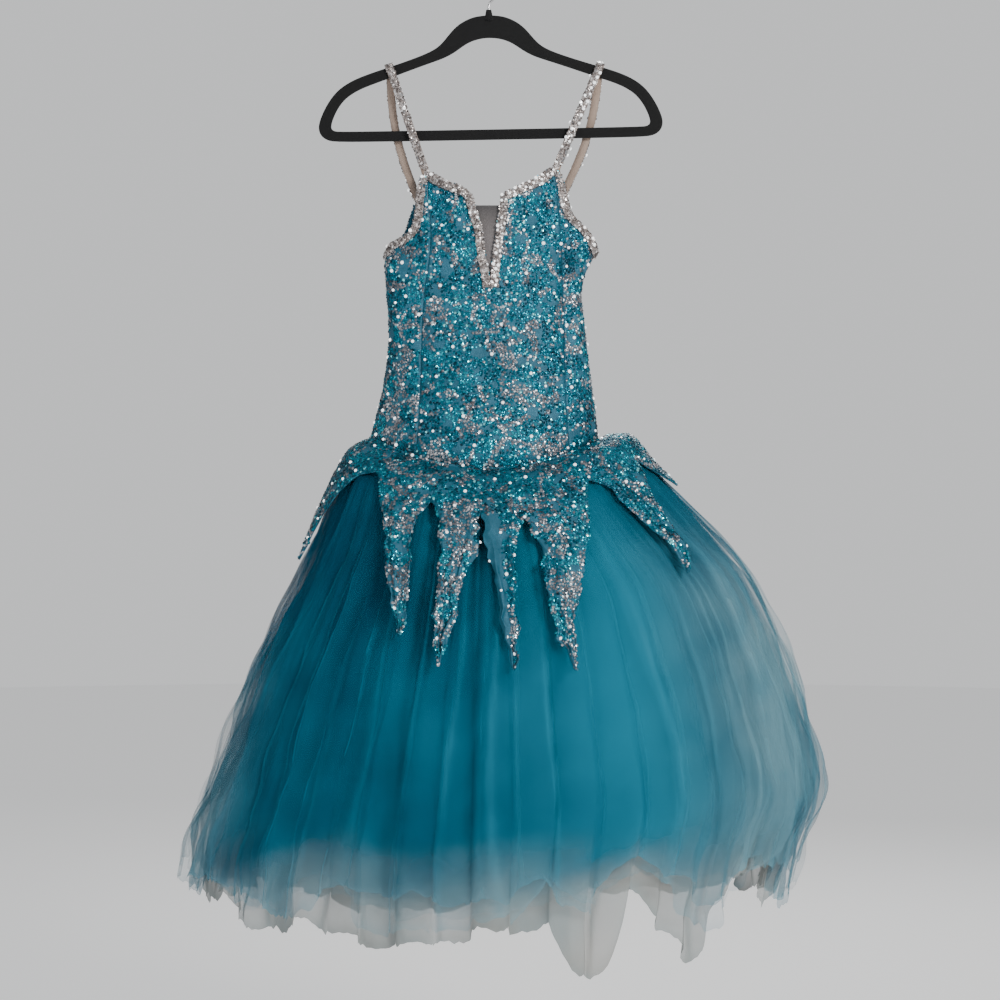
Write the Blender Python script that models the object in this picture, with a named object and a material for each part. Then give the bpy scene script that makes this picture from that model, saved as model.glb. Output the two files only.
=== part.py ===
"""A long dance dress hanging by its two straps from a slim hanger.

Metres, +Z up. The front faces -Y and +X is to the right of someone who looks
at the front. The origin is where a rail touches the crown of the hook, inside.
Angles go round the dress from the centre front, 90 degrees at its +X side.
"""

import functools
import math
from collections import namedtuple

import bmesh
import bpy
from mathutils import Vector

# Cloth and trim
BODICE_WALL = 0.0015
OVERSKIRT_WALL = 0.0015
TULLE_WALL = 0.0012
MESH_WALL = 0.0010
SEAM_GAP = 0.0003
WAIST_GAP = 0.0007
BRAID_WIDTH = 0.0095
BRAID_THICKNESS = 0.0016
BRAID_LIFT = 0.00045
STRAP_WIDTH = 0.0100
STRAP_THICKNESS = 0.0012
STRAP_BRAID_WIDTH = 0.0090
STRAP_SEWN = 0.0100
PLUNGE_LAP = 0.0030

# Hanger and hook
HANGER_THICKNESS = 0.0050
HANGER_EDGE_ROUND = 0.0020
HANGER_TOP = -0.0586
HANGER_TILT = math.radians(1.0)
COLLAR_TOP = -0.0520
COLLAR_FOOT = -0.0660
COLLAR_TOP_RADIUS = 0.0034
COLLAR_FOOT_RADIUS = 0.0062
WIRE_RADIUS = 0.0016
HOOK_INNER_RADIUS = 0.0180
SHANK_BORE_DEPTH = 0.0080
STRAP_ARC_RADIUS = 0.0036

# Bodice landmarks
PLUNGE_TOP = -0.2990
PLUNGE_FOOT = -0.4050
CENTRE_X = 0.0030
SIDE = math.radians(90)
BACK = math.radians(180)

# Skirt layers: the overskirt lies just outside the envelope, both tulle layers inside it
OVERSKIRT_LIFT = 0.0009
LAYER_GAP = 0.0009
COLUMNS_A_TAB = 8
COLUMNS_A_GATHER = 4

# Half widths and depths of the bodice at each height
Section = namedtuple("Section", "height left right front back")
BODICE = [
    Section(-0.255, 0.1280, 0.1320, 0.0170, 0.0150),
    Section(-0.300, 0.1310, 0.1350, 0.0240, 0.0200),
    Section(-0.345, 0.1280, 0.1370, 0.0315, 0.0270),
    Section(-0.361, 0.1300, 0.1400, 0.0340, 0.0300),
    Section(-0.380, 0.1335, 0.1300, 0.0360, 0.0320),
    Section(-0.400, 0.1310, 0.1220, 0.0375, 0.0335),
    Section(-0.418, 0.1310, 0.1185, 0.0385, 0.0345),
    Section(-0.438, 0.1285, 0.1220, 0.0400, 0.0360),
    Section(-0.476, 0.1270, 0.1260, 0.0430, 0.0390),
    Section(-0.515, 0.1310, 0.1300, 0.0490, 0.0450),
    Section(-0.553, 0.1375, 0.1360, 0.0570, 0.0520),
    Section(-0.573, 0.1430, 0.1390, 0.0650, 0.0585),
    Section(-0.604, 0.1505, 0.1408, 0.0755, 0.0662),
    Section(-0.645, 0.1515, 0.1412, 0.0785, 0.0690),
]

# Where the princess seams run
SeamPoint = namedtuple("SeamPoint", "height left right")
PRINCESS_SEAMS = [
    SeamPoint(-0.262, -0.0785, 0.0865),
    SeamPoint(-0.294, -0.0775, 0.0880),
    SeamPoint(-0.352, -0.0724, 0.0941),
    SeamPoint(-0.415, -0.0813, 0.0966),
    SeamPoint(-0.479, -0.0864, 0.0991),
    SeamPoint(-0.542, -0.0864, 0.0991),
    SeamPoint(-0.645, -0.0928, 0.1042),
]

# Top edge of the centre front from each princess seam (across 0) to the plunge (across 1)
NeckPoint = namedtuple("NeckPoint", "across left right")
NECK_EDGE = [
    NeckPoint(0.00, -0.2640, -0.2580),
    NeckPoint(0.10, -0.2628, -0.2570),
    NeckPoint(0.32, -0.2715, -0.2690),
    NeckPoint(0.58, -0.2780, -0.2775),
    NeckPoint(0.84, -0.2845, -0.2865),
    NeckPoint(1.00, -0.2990, -0.2990),
]

# Edges of the plunge, down to where they meet
PlungePoint = namedtuple("PlungePoint", "height left right")
PLUNGE = [
    PlungePoint(PLUNGE_TOP, -0.0180, 0.0155),
    PlungePoint(-0.3190, -0.0130, 0.0135),
    PlungePoint(-0.3340, -0.0070, 0.0115),
    PlungePoint(-0.3730, -0.0035, 0.0058),
    PlungePoint(PLUNGE_FOOT, CENTRE_X, CENTRE_X),
    PlungePoint(-0.6500, CENTRE_X, CENTRE_X),
]

# Front armhole from each princess seam (across 0) to the side seam (across 1)
ArmholePoint = namedtuple("ArmholePoint", "across left right")
ARMHOLE = [
    ArmholePoint(0.00, -0.2640, -0.2580),
    ArmholePoint(0.10, -0.2690, -0.2630),
    ArmholePoint(0.15, -0.2960, -0.2900),
    ArmholePoint(0.19, -0.3200, -0.3120),
    ArmholePoint(0.27, -0.3360, -0.3230),
    ArmholePoint(0.40, -0.3456, -0.3285),
    ArmholePoint(0.55, -0.3490, -0.3370),
    ArmholePoint(0.70, -0.3530, -0.3465),
    ArmholePoint(0.82, -0.3585, -0.3555),
    ArmholePoint(0.92, -0.3617, -0.3612),
    ArmholePoint(1.00, -0.3625, -0.3625),
]

# Top edge of the back from the centre (turn 0) to each side seam (turn 90 degrees)
BackPoint = namedtuple("BackPoint", "turn height")
BACK_EDGE = [
    BackPoint(0, -0.335),
    BackPoint(20, -0.330),
    BackPoint(33, -0.316),
    BackPoint(39, -0.301),
    BackPoint(46, -0.300),
    BackPoint(51, -0.318),
    BackPoint(58, -0.342),
    BackPoint(70, -0.3555),
    BackPoint(82, -0.3616),
    BackPoint(90, -0.3625),
]

# Rows and columns of the bodice's panels, closest where they bend most
PANEL_ROWS = [0, 0.04, 0.08, 0.125, 0.18, 0.245, 0.31, 0.40, 0.52, 0.65, 0.78, 0.89, 1]

PLUNGE_MESH_ROWS = [-0.306, -0.319, -0.334, -0.353, -0.373, -0.390, -0.408]
CENTRE_COLUMNS = [0, 0.10, 0.22, 0.36, 0.50, 0.64, 0.76, 0.88, 1]
BACK_TURNS = [0, 12, 24, 34, 39, 43, 47, 51, 57, 65, 74, 83, 90]

# Where the cross sections of the braids lie along the edges that they follow
NECK_BRAID_ACROSS = [0.02, 0.10, 0.20, 0.32, 0.45, 0.58, 0.71, 0.84]
PLUNGE_BRAID_HEIGHTS = [
    -0.2935, -0.303, -0.312, -0.323, -0.334, -0.350, -0.367, -0.385, -0.400, -0.412
]
ARMHOLE_BRAID_ACROSS = [
    0.13, 0.15, 0.17, 0.19, 0.23, 0.27, 0.33, 0.40, 0.55, 0.65, 0.74, 0.82, 0.88, 0.94, 1
]
ARMHOLE_BRAID_TURNS = [87, 83, 78, 72, 64, 57, 53, 50]

# Lengthwise folds of the bodice front
Fold = namedtuple("Fold", "place top bottom width rise")
BODICE_FOLDS = [
    Fold(0.0975, -0.335, -0.560, 0.0080, -0.0050),
    Fold(0.0840, -0.330, -0.500, 0.0070, 0.0022),
    Fold(0.1110, -0.345, -0.500, 0.0070, 0.0020),
    Fold(-0.0760, -0.340, -0.420, 0.0080, 0.0025),
    Fold(-0.0880, -0.390, -0.560, 0.0080, -0.0040),
    Fold(0.0450, -0.380, -0.600, 0.0160, 0.0025),
    Fold(-0.0350, -0.400, -0.610, 0.0180, 0.0025),
]

# Rings of the skirt's envelope, from the waist seam down
Ring = namedtuple("Ring", "left left_z right right_z front front_z back back_z tilt")
SKIRT = [
    Ring(0.1485, -0.6000, 0.1388, -0.6045, 0.0752, -0.6405, 0.0655, -0.6265, 0),
    Ring(0.1500, -0.6045, 0.1412, -0.6085, 0.0772, -0.6450, 0.0675, -0.6310, 40),
    Ring(0.1610, -0.6090, 0.1520, -0.6015, 0.0880, -0.6490, 0.0790, -0.6350, 75),
    Ring(0.1760, -0.6180, 0.1780, -0.5990, 0.1030, -0.6570, 0.0920, -0.6430, 65),
    Ring(0.1950, -0.6500, 0.2170, -0.6400, 0.1330, -0.6880, 0.1170, -0.6740, 47),
    Ring(0.2170, -0.7000, 0.2780, -0.7000, 0.1640, -0.7350, 0.1430, -0.7200, 41),
    Ring(0.2500, -0.7700, 0.3490, -0.7750, 0.1950, -0.8000, 0.1680, -0.7900, 33),
    Ring(0.2980, -0.8600, 0.3910, -0.8600, 0.2220, -0.8800, 0.1900, -0.8700, 23),
    Ring(0.3370, -0.9500, 0.4235, -0.9500, 0.2420, -0.9600, 0.2070, -0.9550, 18),
    Ring(0.3730, -1.0400, 0.4440, -1.0400, 0.2560, -1.0400, 0.2200, -1.0400, 12),
    Ring(0.4010, -1.1200, 0.4210, -1.1200, 0.2620, -1.1200, 0.2270, -1.1200, 4),
    Ring(0.4110, -1.2000, 0.4060, -1.2000, 0.2660, -1.2000, 0.2310, -1.2000, 0),
    Ring(0.4120, -1.3000, 0.4000, -1.3000, 0.2680, -1.3000, 0.2330, -1.3000, 0),
]

# Levels of the rings close to the waist seam, where every layer has a row
SEAM_LEVELS = [0, 1, 2, 3]
LOWER_LEVELS = [4.5, 6.0, 7.5, 9.0]

# Pointed tabs of the overskirt: the valley before each, its tip, and how fast it narrows
Tab = namedtuple("Tab", "valley valley_z tip tip_z narrowing")
OVERSKIRT_TABS = [
    Tab(-105.0, -0.650, -76.0, -0.760, 1.0),
    Tab(-47.4, -0.648, -22.0, -0.840, 1.5),
    Tab(-18.7, -0.694, -11.8, -0.879, 1.1),
    Tab(-2.6, -0.692, 4.3, -0.882, 1.1),
    Tab(9.2, -0.700, 16.0, -0.883, 1.1),
    Tab(30.1, -0.665, 45.6, -0.771, 1.1),
    Tab(66.0, -0.645, 84.0, -0.740, 1.1),
    Tab(100.0, -0.660, 116.0, -0.850, 1.1),
    Tab(131.0, -0.690, 147.0, -0.862, 1.1),
    Tab(162.0, -0.695, 178.0, -0.868, 1.1),
    Tab(193.0, -0.695, 209.0, -0.860, 1.1),
    Tab(224.0, -0.680, 240.0, -0.845, 1.1),
]
TAB_FOLD = 0.0050

# Hem of each tulle layer
HemPoint = namedtuple("HemPoint", "angle height")
OVERLAYER_HEM = [
    HemPoint(-100, -1.150),
    HemPoint(-86, -1.182),
    HemPoint(-70, -1.155),
    HemPoint(-52, -1.163),
    HemPoint(-38, -1.190),
    HemPoint(-31, -1.147),
    HemPoint(-15, -1.145),
    HemPoint(4, -1.143),
    HemPoint(10, -1.060),
    HemPoint(22, -1.078),
    HemPoint(28, -1.095),
    HemPoint(36, -1.050),
    HemPoint(50, -1.075),
    HemPoint(60, -1.130),
    HemPoint(72, -1.180),
    HemPoint(86, -1.195),
    HemPoint(98, -1.110),
    HemPoint(112, -1.140),
    HemPoint(135, -1.120),
    HemPoint(160, -1.150),
    HemPoint(182, -1.125),
    HemPoint(205, -1.150),
    HemPoint(232, -1.120),
]
PETTICOAT_HEM = [
    HemPoint(-96, -1.150),
    HemPoint(-84, -1.190),
    HemPoint(-66, -1.176),
    HemPoint(-50, -1.210),
    HemPoint(-36, -1.196),
    HemPoint(-18, -1.218),
    HemPoint(-4, -1.205),
    HemPoint(6, -1.192),
    HemPoint(12, -1.196),
    HemPoint(16, -1.252),
    HemPoint(22, -1.252),
    HemPoint(26, -1.150),
    HemPoint(32, -1.182),
    HemPoint(43, -1.244),
    HemPoint(50, -1.175),
    HemPoint(62, -1.136),
    HemPoint(76, -1.190),
    HemPoint(90, -1.150),
    HemPoint(110, -1.190),
    HemPoint(134, -1.170),
    HemPoint(158, -1.200),
    HemPoint(180, -1.180),
    HemPoint(204, -1.205),
    HemPoint(230, -1.175),
    HemPoint(250, -1.195),
]

# Depth of the tulle's gathers, as half the height of a wave
GatherDepth = namedtuple("GatherDepth", "level overlayer petticoat")
GATHER_DEPTHS = [
    GatherDepth(0.0, 0.0009, 0.0009),
    GatherDepth(2.0, 0.0022, 0.0020),
    GatherDepth(4.0, 0.0060, 0.0050),
    GatherDepth(7.0, 0.0105, 0.0090),
    GatherDepth(12.0, 0.0150, 0.0120),
]

# One side of the hanger, as distance from its middle and drop below its top
HangerStation = namedtuple("HangerStation", "outer_x outer_drop inner_x inner_drop")
HANGER_HALF = [
    HangerStation(0.0000, 0.0000, 0.0000, 0.0290),
    HangerStation(0.0180, 0.0015, 0.0140, 0.0305),
    HangerStation(0.0300, 0.0060, 0.0270, 0.0350),
    HangerStation(0.0430, 0.0140, 0.0360, 0.0410),
    HangerStation(0.0540, 0.0270, 0.0450, 0.0475),
    HangerStation(0.0630, 0.0380, 0.0580, 0.0545),
    HangerStation(0.0760, 0.0465, 0.0750, 0.0600),
    HangerStation(0.1080, 0.0580, 0.1040, 0.0700),
    HangerStation(0.1400, 0.0680, 0.1360, 0.0815),
    HangerStation(0.1680, 0.0770, 0.1640, 0.0910),
    HangerStation(0.1860, 0.0860, 0.1780, 0.0985),
    HangerStation(0.1990, 0.0960, 0.1880, 0.1060),
    HangerStation(0.2100, 0.1110, 0.1970, 0.1180),
    HangerStation(0.2180, 0.1270, 0.2025, 0.1300),
    HangerStation(0.2225, 0.1410, 0.2050, 0.1380),
    HangerStation(0.2190, 0.1520, 0.2050, 0.1430),
    HangerStation(0.2090, 0.1590, 0.2010, 0.1463),
    HangerStation(0.1900, 0.1605, 0.1900, 0.1470),
    HangerStation(0.0000, 0.1605, 0.0000, 0.1470),
]

ARM_STATIONS = HANGER_HALF[:13]

# Where each strap crosses the hanger, and how far its back run bows outward
Strap = namedtuple("Strap", "name side crossing front_x front_z back_x back_z bow")
STRAPS = [
    Strap("left", -1, -0.1290, -0.0795, -0.2640, -0.0880, -0.3000, 0.0110),
    Strap("right", 1, 0.1415, 0.0870, -0.2580, 0.0900, -0.3000, 0.0120),
]

Finish = namedtuple("Finish", "colour roughness metallic")
FINISHES = {
    "sequin_cloth": Finish((0.045, 0.200, 0.270), 0.35, 0.45),
    "silver_trim": Finish((0.420, 0.440, 0.450), 0.30, 0.70),
    "nude_mesh": Finish((0.400, 0.330, 0.290), 0.80, 0.0),
    "strap_elastic": Finish((0.480, 0.350, 0.270), 0.75, 0.0),
    "tulle_blue": Finish((0.010, 0.120, 0.200), 0.80, 0.0),
    "tulle_ivory": Finish((0.420, 0.430, 0.400), 0.85, 0.0),
    "hanger_flock": Finish((0.006, 0.006, 0.007), 0.90, 0.0),
    "hook_steel": Finish((0.550, 0.550, 0.560), 0.25, 1.0),
}


def clear_scene():
    for obj in list(bpy.data.objects):
        bpy.data.objects.remove(obj, do_unlink=True)


def make_materials():
    materials = {}
    for name, finish in FINISHES.items():
        material = bpy.data.materials.new(name)
        material.use_nodes = True
        shader = material.node_tree.nodes["Principled BSDF"]
        shader.inputs["Base Color"].default_value = (*finish.colour, 1.0)
        shader.inputs["Roughness"].default_value = finish.roughness
        shader.inputs["Metallic"].default_value = finish.metallic
        materials[name] = material
    return materials


def blend(first, second, part):
    return first + (second - first) * part


def ease(part):
    part = min(max(part, 0.0), 1.0)
    return part * part * (3 - 2 * part)


@functools.lru_cache(maxsize=None)
def slopes_of(keys, values):
    """Slopes that keep a smooth curve from overshooting its points."""
    steps = [
        (values[i + 1] - values[i]) / (keys[i + 1] - keys[i])
        for i in range(len(keys) - 1)
    ]
    slopes = [steps[0]]
    for before, after in zip(steps, steps[1:]):
        rising_on = before * after > 0
        slopes.append(2 * before * after / (before + after) if rising_on else 0.0)
    slopes.append(steps[-1])
    return slopes


def read_curve(keys, values, at):
    """Height of the smooth curve through the points, and its end values outside them."""
    if keys[0] > keys[-1]:
        keys = keys[::-1]
        values = values[::-1]
    if at <= keys[0]:
        return values[0]
    if at >= keys[-1]:
        return values[-1]
    slopes = slopes_of(keys, values)
    i = max(n for n in range(len(keys) - 1) if keys[n] <= at)
    width = keys[i + 1] - keys[i]
    t = (at - keys[i]) / width
    return (
        (2 * t**3 - 3 * t**2 + 1) * values[i]
        + (t**3 - 2 * t**2 + t) * width * slopes[i]
        + (3 * t**2 - 2 * t**3) * values[i + 1]
        + (t**3 - t**2) * width * slopes[i + 1]
    )


def read(table, key, column, at):
    keys = tuple(getattr(row, key) for row in table)
    values = tuple(getattr(row, column) for row in table)
    return read_curve(keys, values, at)


def side_column(side):
    return "left" if side < 0 else "right"


def around(side_size, depth, angle):
    """Point on an oval section, and the direction straight out from it."""
    point = Vector((side_size * math.sin(angle), -depth * math.cos(angle), 0.0))
    out = Vector((math.sin(angle) / side_size, -math.cos(angle) / depth, 0.0))
    return point, out.normalized()


def bodice_sizes(angle, height):
    side = "right" if math.sin(angle) > 0 else "left"
    face = "front" if math.cos(angle) > 0 else "back"
    side_size = read(BODICE, "height", side, height)
    depth = read(BODICE, "height", face, height)
    return side_size, depth


def fold_rise(x, height):
    rise = 0.0
    for fold in BODICE_FOLDS:
        fade = ease((fold.top - height) / 0.040) * ease((height - fold.bottom) / 0.040)
        rise += fold.rise * fade * math.exp(-(((x - fold.place) / fold.width) ** 2))
    return rise


def bodice_point(angle, height, out=0.0):
    side_size, depth = bodice_sizes(angle, height)
    point, direction = around(side_size, depth, angle)
    rise = fold_rise(point.x, height) if math.cos(angle) > 0 else 0.0
    point += direction * (out + rise)
    point.z = height
    return point


def bodice_normal(angle, height):
    side_size, depth = bodice_sizes(angle, height)
    return around(side_size, depth, angle)[1]


def front_angle(x, height):
    side = "right" if x > 0 else "left"
    side_size = read(BODICE, "height", side, height)
    return math.asin(min(max(x / side_size, -1.0), 1.0))


def front_point(x, height, out=0.0):
    return bodice_point(front_angle(x, height), height, out)


def waist_height(angle):
    """Height of the bodice's lower edge, just above the skirt's first ring."""
    return ring_point(SKIRT[0], angle).z + WAIST_GAP


def seam_angle(side, height):
    return front_angle(read(PRINCESS_SEAMS, "height", side_column(side), height), height)


def ring_point(ring, angle):
    side_size, side_z = (
        (ring.right, ring.right_z) if math.sin(angle) > 0 else (ring.left, ring.left_z)
    )
    depth, depth_z = (
        (ring.front, ring.front_z) if math.cos(angle) > 0 else (ring.back, ring.back_z)
    )
    point, _ = around(side_size, depth, angle)
    point.z = depth_z * math.cos(angle) ** 2 + side_z * math.sin(angle) ** 2
    return point


@functools.lru_cache(maxsize=None)
def envelope_columns(angle):
    """X, Y, Z, side size, depth and tilt of every ring at an angle."""
    rows = []
    for ring in SKIRT:
        point = ring_point(ring, angle)
        side_size = ring.right if math.sin(angle) > 0 else ring.left
        depth = ring.front if math.cos(angle) > 0 else ring.back
        rows.append((point.x, point.y, point.z, side_size, depth, ring.tilt))
    return tuple(zip(*rows))


def skirt_point(angle, level, out=0.0):
    """Point of the envelope at a level counted in rings, moved outward."""
    columns = envelope_columns(angle)
    levels = tuple(range(len(SKIRT)))
    point = Vector([read_curve(levels, columns[axis], level) for axis in range(3)])
    if out == 0:
        return point
    side_size = read_curve(levels, columns[3], level)
    depth = read_curve(levels, columns[4], level)
    _, level_out = around(side_size, depth, angle)
    tilt = math.radians(read_curve(levels, columns[5], level))
    direction = level_out * math.cos(tilt) + Vector((0, 0, 1)) * math.sin(tilt)
    return point + direction * out


def level_at(angle, height):
    """Level at which the envelope comes down to a height, found by halving."""
    high = 1.0
    low = len(SKIRT) - 1.0
    for _ in range(24):
        middle = (high + low) / 2
        if skirt_point(angle, middle).z > height:
            high = middle
        else:
            low = middle
    return (high + low) / 2


def read_round(table, column, angle):
    """Reads a table that goes once round the dress, in degrees."""
    start = table[0].angle
    turn = start + (math.degrees(angle) - start) % 360
    keys = (*[row.angle for row in table], start + 360)
    values = (*[getattr(row, column) for row in table], getattr(table[0], column))
    return read_curve(keys, values, turn)


def finish_object(name, mesh, material):
    obj = bpy.data.objects.new(name, mesh)
    obj.data.materials.append(material)
    obj.data.shade_smooth()
    bpy.context.scene.collection.objects.link(obj)
    return obj


def place_key(point):
    return tuple(round(value, 6) for value in point)


def cloth_object(name, patches_at, wall, material, closed=False):
    """One walled cloth piece. patches_at(out) gives its patches of points moved outward,
    a patch being columns that run down, side by side in the direction of the angle."""
    shape = bmesh.new()
    verts = {}
    inner_places = {}
    for outer, inner in zip(patches_at(0.0), patches_at(-wall)):
        grid = []
        for outer_column, inner_column in zip(outer, inner):
            column = []
            for point, inner_point in zip(outer_column, inner_column):
                key = place_key(point)
                if key not in verts:
                    verts[key] = shape.verts.new(point)
                    inner_places[verts[key]] = inner_point
                column.append(verts[key])
            grid.append(column)
        for i in range(len(grid) if closed else len(grid) - 1):
            here = grid[i]
            beside = grid[(i + 1) % len(grid)]
            for j in range(len(here) - 1):
                shape.faces.new((here[j], here[j + 1], beside[j + 1], beside[j]))
    give_wall(shape, inner_places)
    mesh = bpy.data.meshes.new(name)
    shape.to_mesh(mesh)
    shape.free()
    return finish_object(name, mesh, material)


def give_wall(shape, inner_places):
    """Extrudes an open sheet into a closed wall whose new face lies at the inner places."""
    by_place = {place_key(vert.co): place for vert, place in inner_places.items()}
    whole = shape.verts[:] + shape.edges[:] + shape.faces[:]
    made = bmesh.ops.extrude_face_region(shape, geom=whole, use_keep_orig=True)["geom"]
    for item in made:
        if isinstance(item, bmesh.types.BMVert):
            item.co = by_place[place_key(item.co)]
    bmesh.ops.recalc_face_normals(shape, faces=shape.faces)


def band_object(name, stations, material):
    """A band through its cross sections, each a round of corners in the same order."""
    shape = bmesh.new()
    loops = [[shape.verts.new(corner) for corner in station] for station in stations]
    count = len(loops[0])
    for here, beyond in zip(loops, loops[1:]):
        for n in range(count):
            m = (n + 1) % count
            shape.faces.new((here[n], here[m], beyond[m], beyond[n]))
    shape.faces.new(loops[0][::-1])
    shape.faces.new(loops[-1])
    bmesh.ops.recalc_face_normals(shape, faces=shape.faces)
    mesh = bpy.data.meshes.new(name)
    shape.to_mesh(mesh)
    shape.free()
    return finish_object(name, mesh, material)


def flat_stations(middles, widthways, outs, width, thickness):
    """Four corners at each point of a line on the inner face of a flat band."""
    stations = []
    for middle, across, out in zip(middles, widthways, outs):
        half = across * width / 2
        rise = out * thickness
        stations.append([middle - half, middle + half, middle + half + rise, middle - half + rise])
    return stations


def directions_along(points):
    """Unit direction of a line of points at each of them."""
    last = len(points) - 1
    return [
        (points[min(i + 1, last)] - points[max(i - 1, 0)]).normalized()
        for i in range(len(points))
    ]


def even_steps(count):
    return [n / count for n in range(count + 1)]


def blend_seam(side, height, across):
    """X of a point part of the way from the princess seam to the plunge."""
    column = side_column(side)
    seam = read(PRINCESS_SEAMS, "height", column, height)
    plunge = read(PLUNGE, "height", column, height)
    return blend(seam, plunge, across)


def waist_below(angle_at):
    """Height of the bodice's lower edge under a line whose angle depends on its height."""
    height = waist_height(BACK / 2)
    for _ in range(4):
        height = waist_height(angle_at(height))
    return height


def centre_half(side, out):
    """Columns of half the centre front, from the princess seam in to the plunge."""
    column = side_column(side)
    columns = []
    for across in CENTRE_COLUMNS:
        top = read(NECK_EDGE, "across", column, across)
        bottom = waist_below(lambda z: front_angle(blend_seam(side, z, across), z))
        points = []
        for down in PANEL_ROWS:
            height = blend(top, bottom, down)
            x = blend_seam(side, height, across)
            if across == 0:
                x -= side * SEAM_GAP
            points.append(front_point(x, height, out))
        columns.append(points)
    return columns if side < 0 else columns[::-1]


def make_bodice_front(materials):
    cloth_object(
        "bodice_front",
        lambda out: [centre_half(-1, out), centre_half(1, out)],
        BODICE_WALL,
        materials["sequin_cloth"],
    )


def armhole_angle(side, across, height):
    start = seam_angle(side, height)
    return blend(start, side * SIDE, across)


def side_columns(side, out):
    """Columns of a side front panel, from the princess seam to the side seam."""
    column = side_column(side)
    last = len(ARMHOLE) - 1
    columns = []
    for n, edge in enumerate(ARMHOLE):
        waist_across = n / last
        top = getattr(edge, column)
        bottom = waist_below(lambda z: armhole_angle(side, waist_across, z))
        points = []
        for down in PANEL_ROWS:
            across = blend(edge.across, waist_across, down)
            height = blend(top, bottom, down)
            angle = armhole_angle(side, across, height)
            if n == last:
                angle -= side * SEAM_GAP / 2 / bodice_sizes(angle, height)[1]
            points.append(bodice_point(angle, height, out))
        columns.append(points)
    return columns if side > 0 else columns[::-1]


def make_bodice_side(side, materials):
    cloth_object(
        f"bodice_side_{side_column(side)}",
        lambda out: [side_columns(side, out)],
        BODICE_WALL,
        materials["sequin_cloth"],
    )


def back_columns(out):
    """Columns of the whole back between the side seams, with a scooped top edge."""
    columns = []
    for turn in [-turn for turn in BACK_TURNS[:0:-1]] + BACK_TURNS:
        angle = BACK + math.radians(turn)
        top = read(BACK_EDGE, "turn", "height", abs(turn))
        bottom = waist_height(angle)
        points = []
        for down in PANEL_ROWS:
            height = blend(top, bottom, down)
            gap = SEAM_GAP / 2 / bodice_sizes(angle, height)[1] if abs(turn) == 90 else 0.0
            points.append(bodice_point(angle - math.copysign(gap, turn), height, out))
        columns.append(points)
    return columns


def make_bodice_back(materials):
    cloth_object(
        "bodice_back",
        lambda out: [back_columns(out)],
        BODICE_WALL,
        materials["sequin_cloth"],
    )


def plunge_columns(out):
    """Columns of the net insert, which laps under each edge of the plunge."""
    lap = PLUNGE_LAP
    behind = out - (BODICE_WALL + 2 * SEAM_GAP)
    columns = []
    for across in even_steps(4):
        points = []
        for height in PLUNGE_MESH_ROWS:
            left = read(PLUNGE, "height", "left", height) - lap
            right = read(PLUNGE, "height", "right", height) + lap
            points.append(front_point(blend(left, right, across), height, behind))
        columns.append(points)
    return columns


def make_plunge_mesh(materials):
    cloth_object(
        "plunge_mesh",
        lambda out: [plunge_columns(out)],
        MESH_WALL,
        materials["nude_mesh"],
    )


def bodice_place(point):
    """Angle of the place on the bodice next to a point."""
    side_size, depth = bodice_sizes(math.atan2(point.x, -point.y), point.z)
    return math.atan2(point.x / side_size, -point.y / depth)


def braid_on_bodice(name, places, inward, materials):
    """Braid whose outer edge follows a line of (angle, height) places on the bodice."""
    edge = [bodice_point(angle, height) for angle, height in places]
    outs = [bodice_normal(angle, height) for angle, height in places]
    stations = []
    for point, direction, out in zip(edge, directions_along(edge), outs):
        across = direction.cross(out).normalized() * inward * BRAID_WIDTH
        under = []
        over = []
        for part in (0, 0.5, 1):
            target = point + across * part
            angle = bodice_place(target)
            under.append(bodice_point(angle, target.z, BRAID_LIFT))
            over.append(bodice_point(angle, target.z, BRAID_LIFT + BRAID_THICKNESS))
        stations.append(under + over[::-1])
    band_object(name, stations, materials["silver_trim"])


def make_neck_braid(side, materials):
    """Braid along the neckline and down the plunge on one side."""
    column = side_column(side)
    places = []
    for across in NECK_BRAID_ACROSS:
        height = read(NECK_EDGE, "across", column, across)
        places.append((front_angle(blend_seam(side, height, across), height), height))
    for height in PLUNGE_BRAID_HEIGHTS:
        x = read(PLUNGE, "height", column, height) + side * SEAM_GAP
        places.append((front_angle(x, height), height))
    braid_on_bodice(f"trim_neck_{column}", places, -side, materials)


def make_armhole_braid(side, materials):
    """Braid round one armhole, from the front strap under the arm to the back strap."""
    column = side_column(side)
    places = []
    for across in ARMHOLE_BRAID_ACROSS:
        height = read(ARMHOLE, "across", column, across)
        places.append((armhole_angle(side, across, height), height))
    for turn in ARMHOLE_BRAID_TURNS:
        height = read(BACK_EDGE, "turn", "height", turn)
        places.append((side * (BACK - math.radians(turn)), height))
    braid_on_bodice(f"trim_armhole_{column}", places, side, materials)


def on_hanger(x, drop):
    """World place of a point of the hanger, which hangs a little out of level."""
    z = HANGER_TOP - drop
    return Vector(
        (
            x * math.cos(HANGER_TILT) - z * math.sin(HANGER_TILT),
            0.0,
            x * math.sin(HANGER_TILT) + z * math.cos(HANGER_TILT),
        )
    )


def strap_top(strap):
    """Top of the hanger under a strap, with the directions along the arm and up from it."""
    near = abs(strap.crossing)
    step = 0.004
    drops = [read(ARM_STATIONS, "outer_x", "outer_drop", near + n * step) for n in (-1, 0, 1)]
    top = on_hanger(strap.crossing, drops[1])
    further = on_hanger(strap.crossing + strap.side * step, drops[2])
    nearer = on_hanger(strap.crossing - strap.side * step, drops[0])
    arm = (further - nearer).normalized() * strap.side
    return top, arm, Vector((-arm.z, 0.0, arm.x))


def level_along(angle, height):
    """Level direction along the bodice's wall, towards +X."""
    out = bodice_normal(angle, height)
    along = Vector((-out.y, out.x, 0.0))
    return along if along.x > 0 else -along


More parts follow.
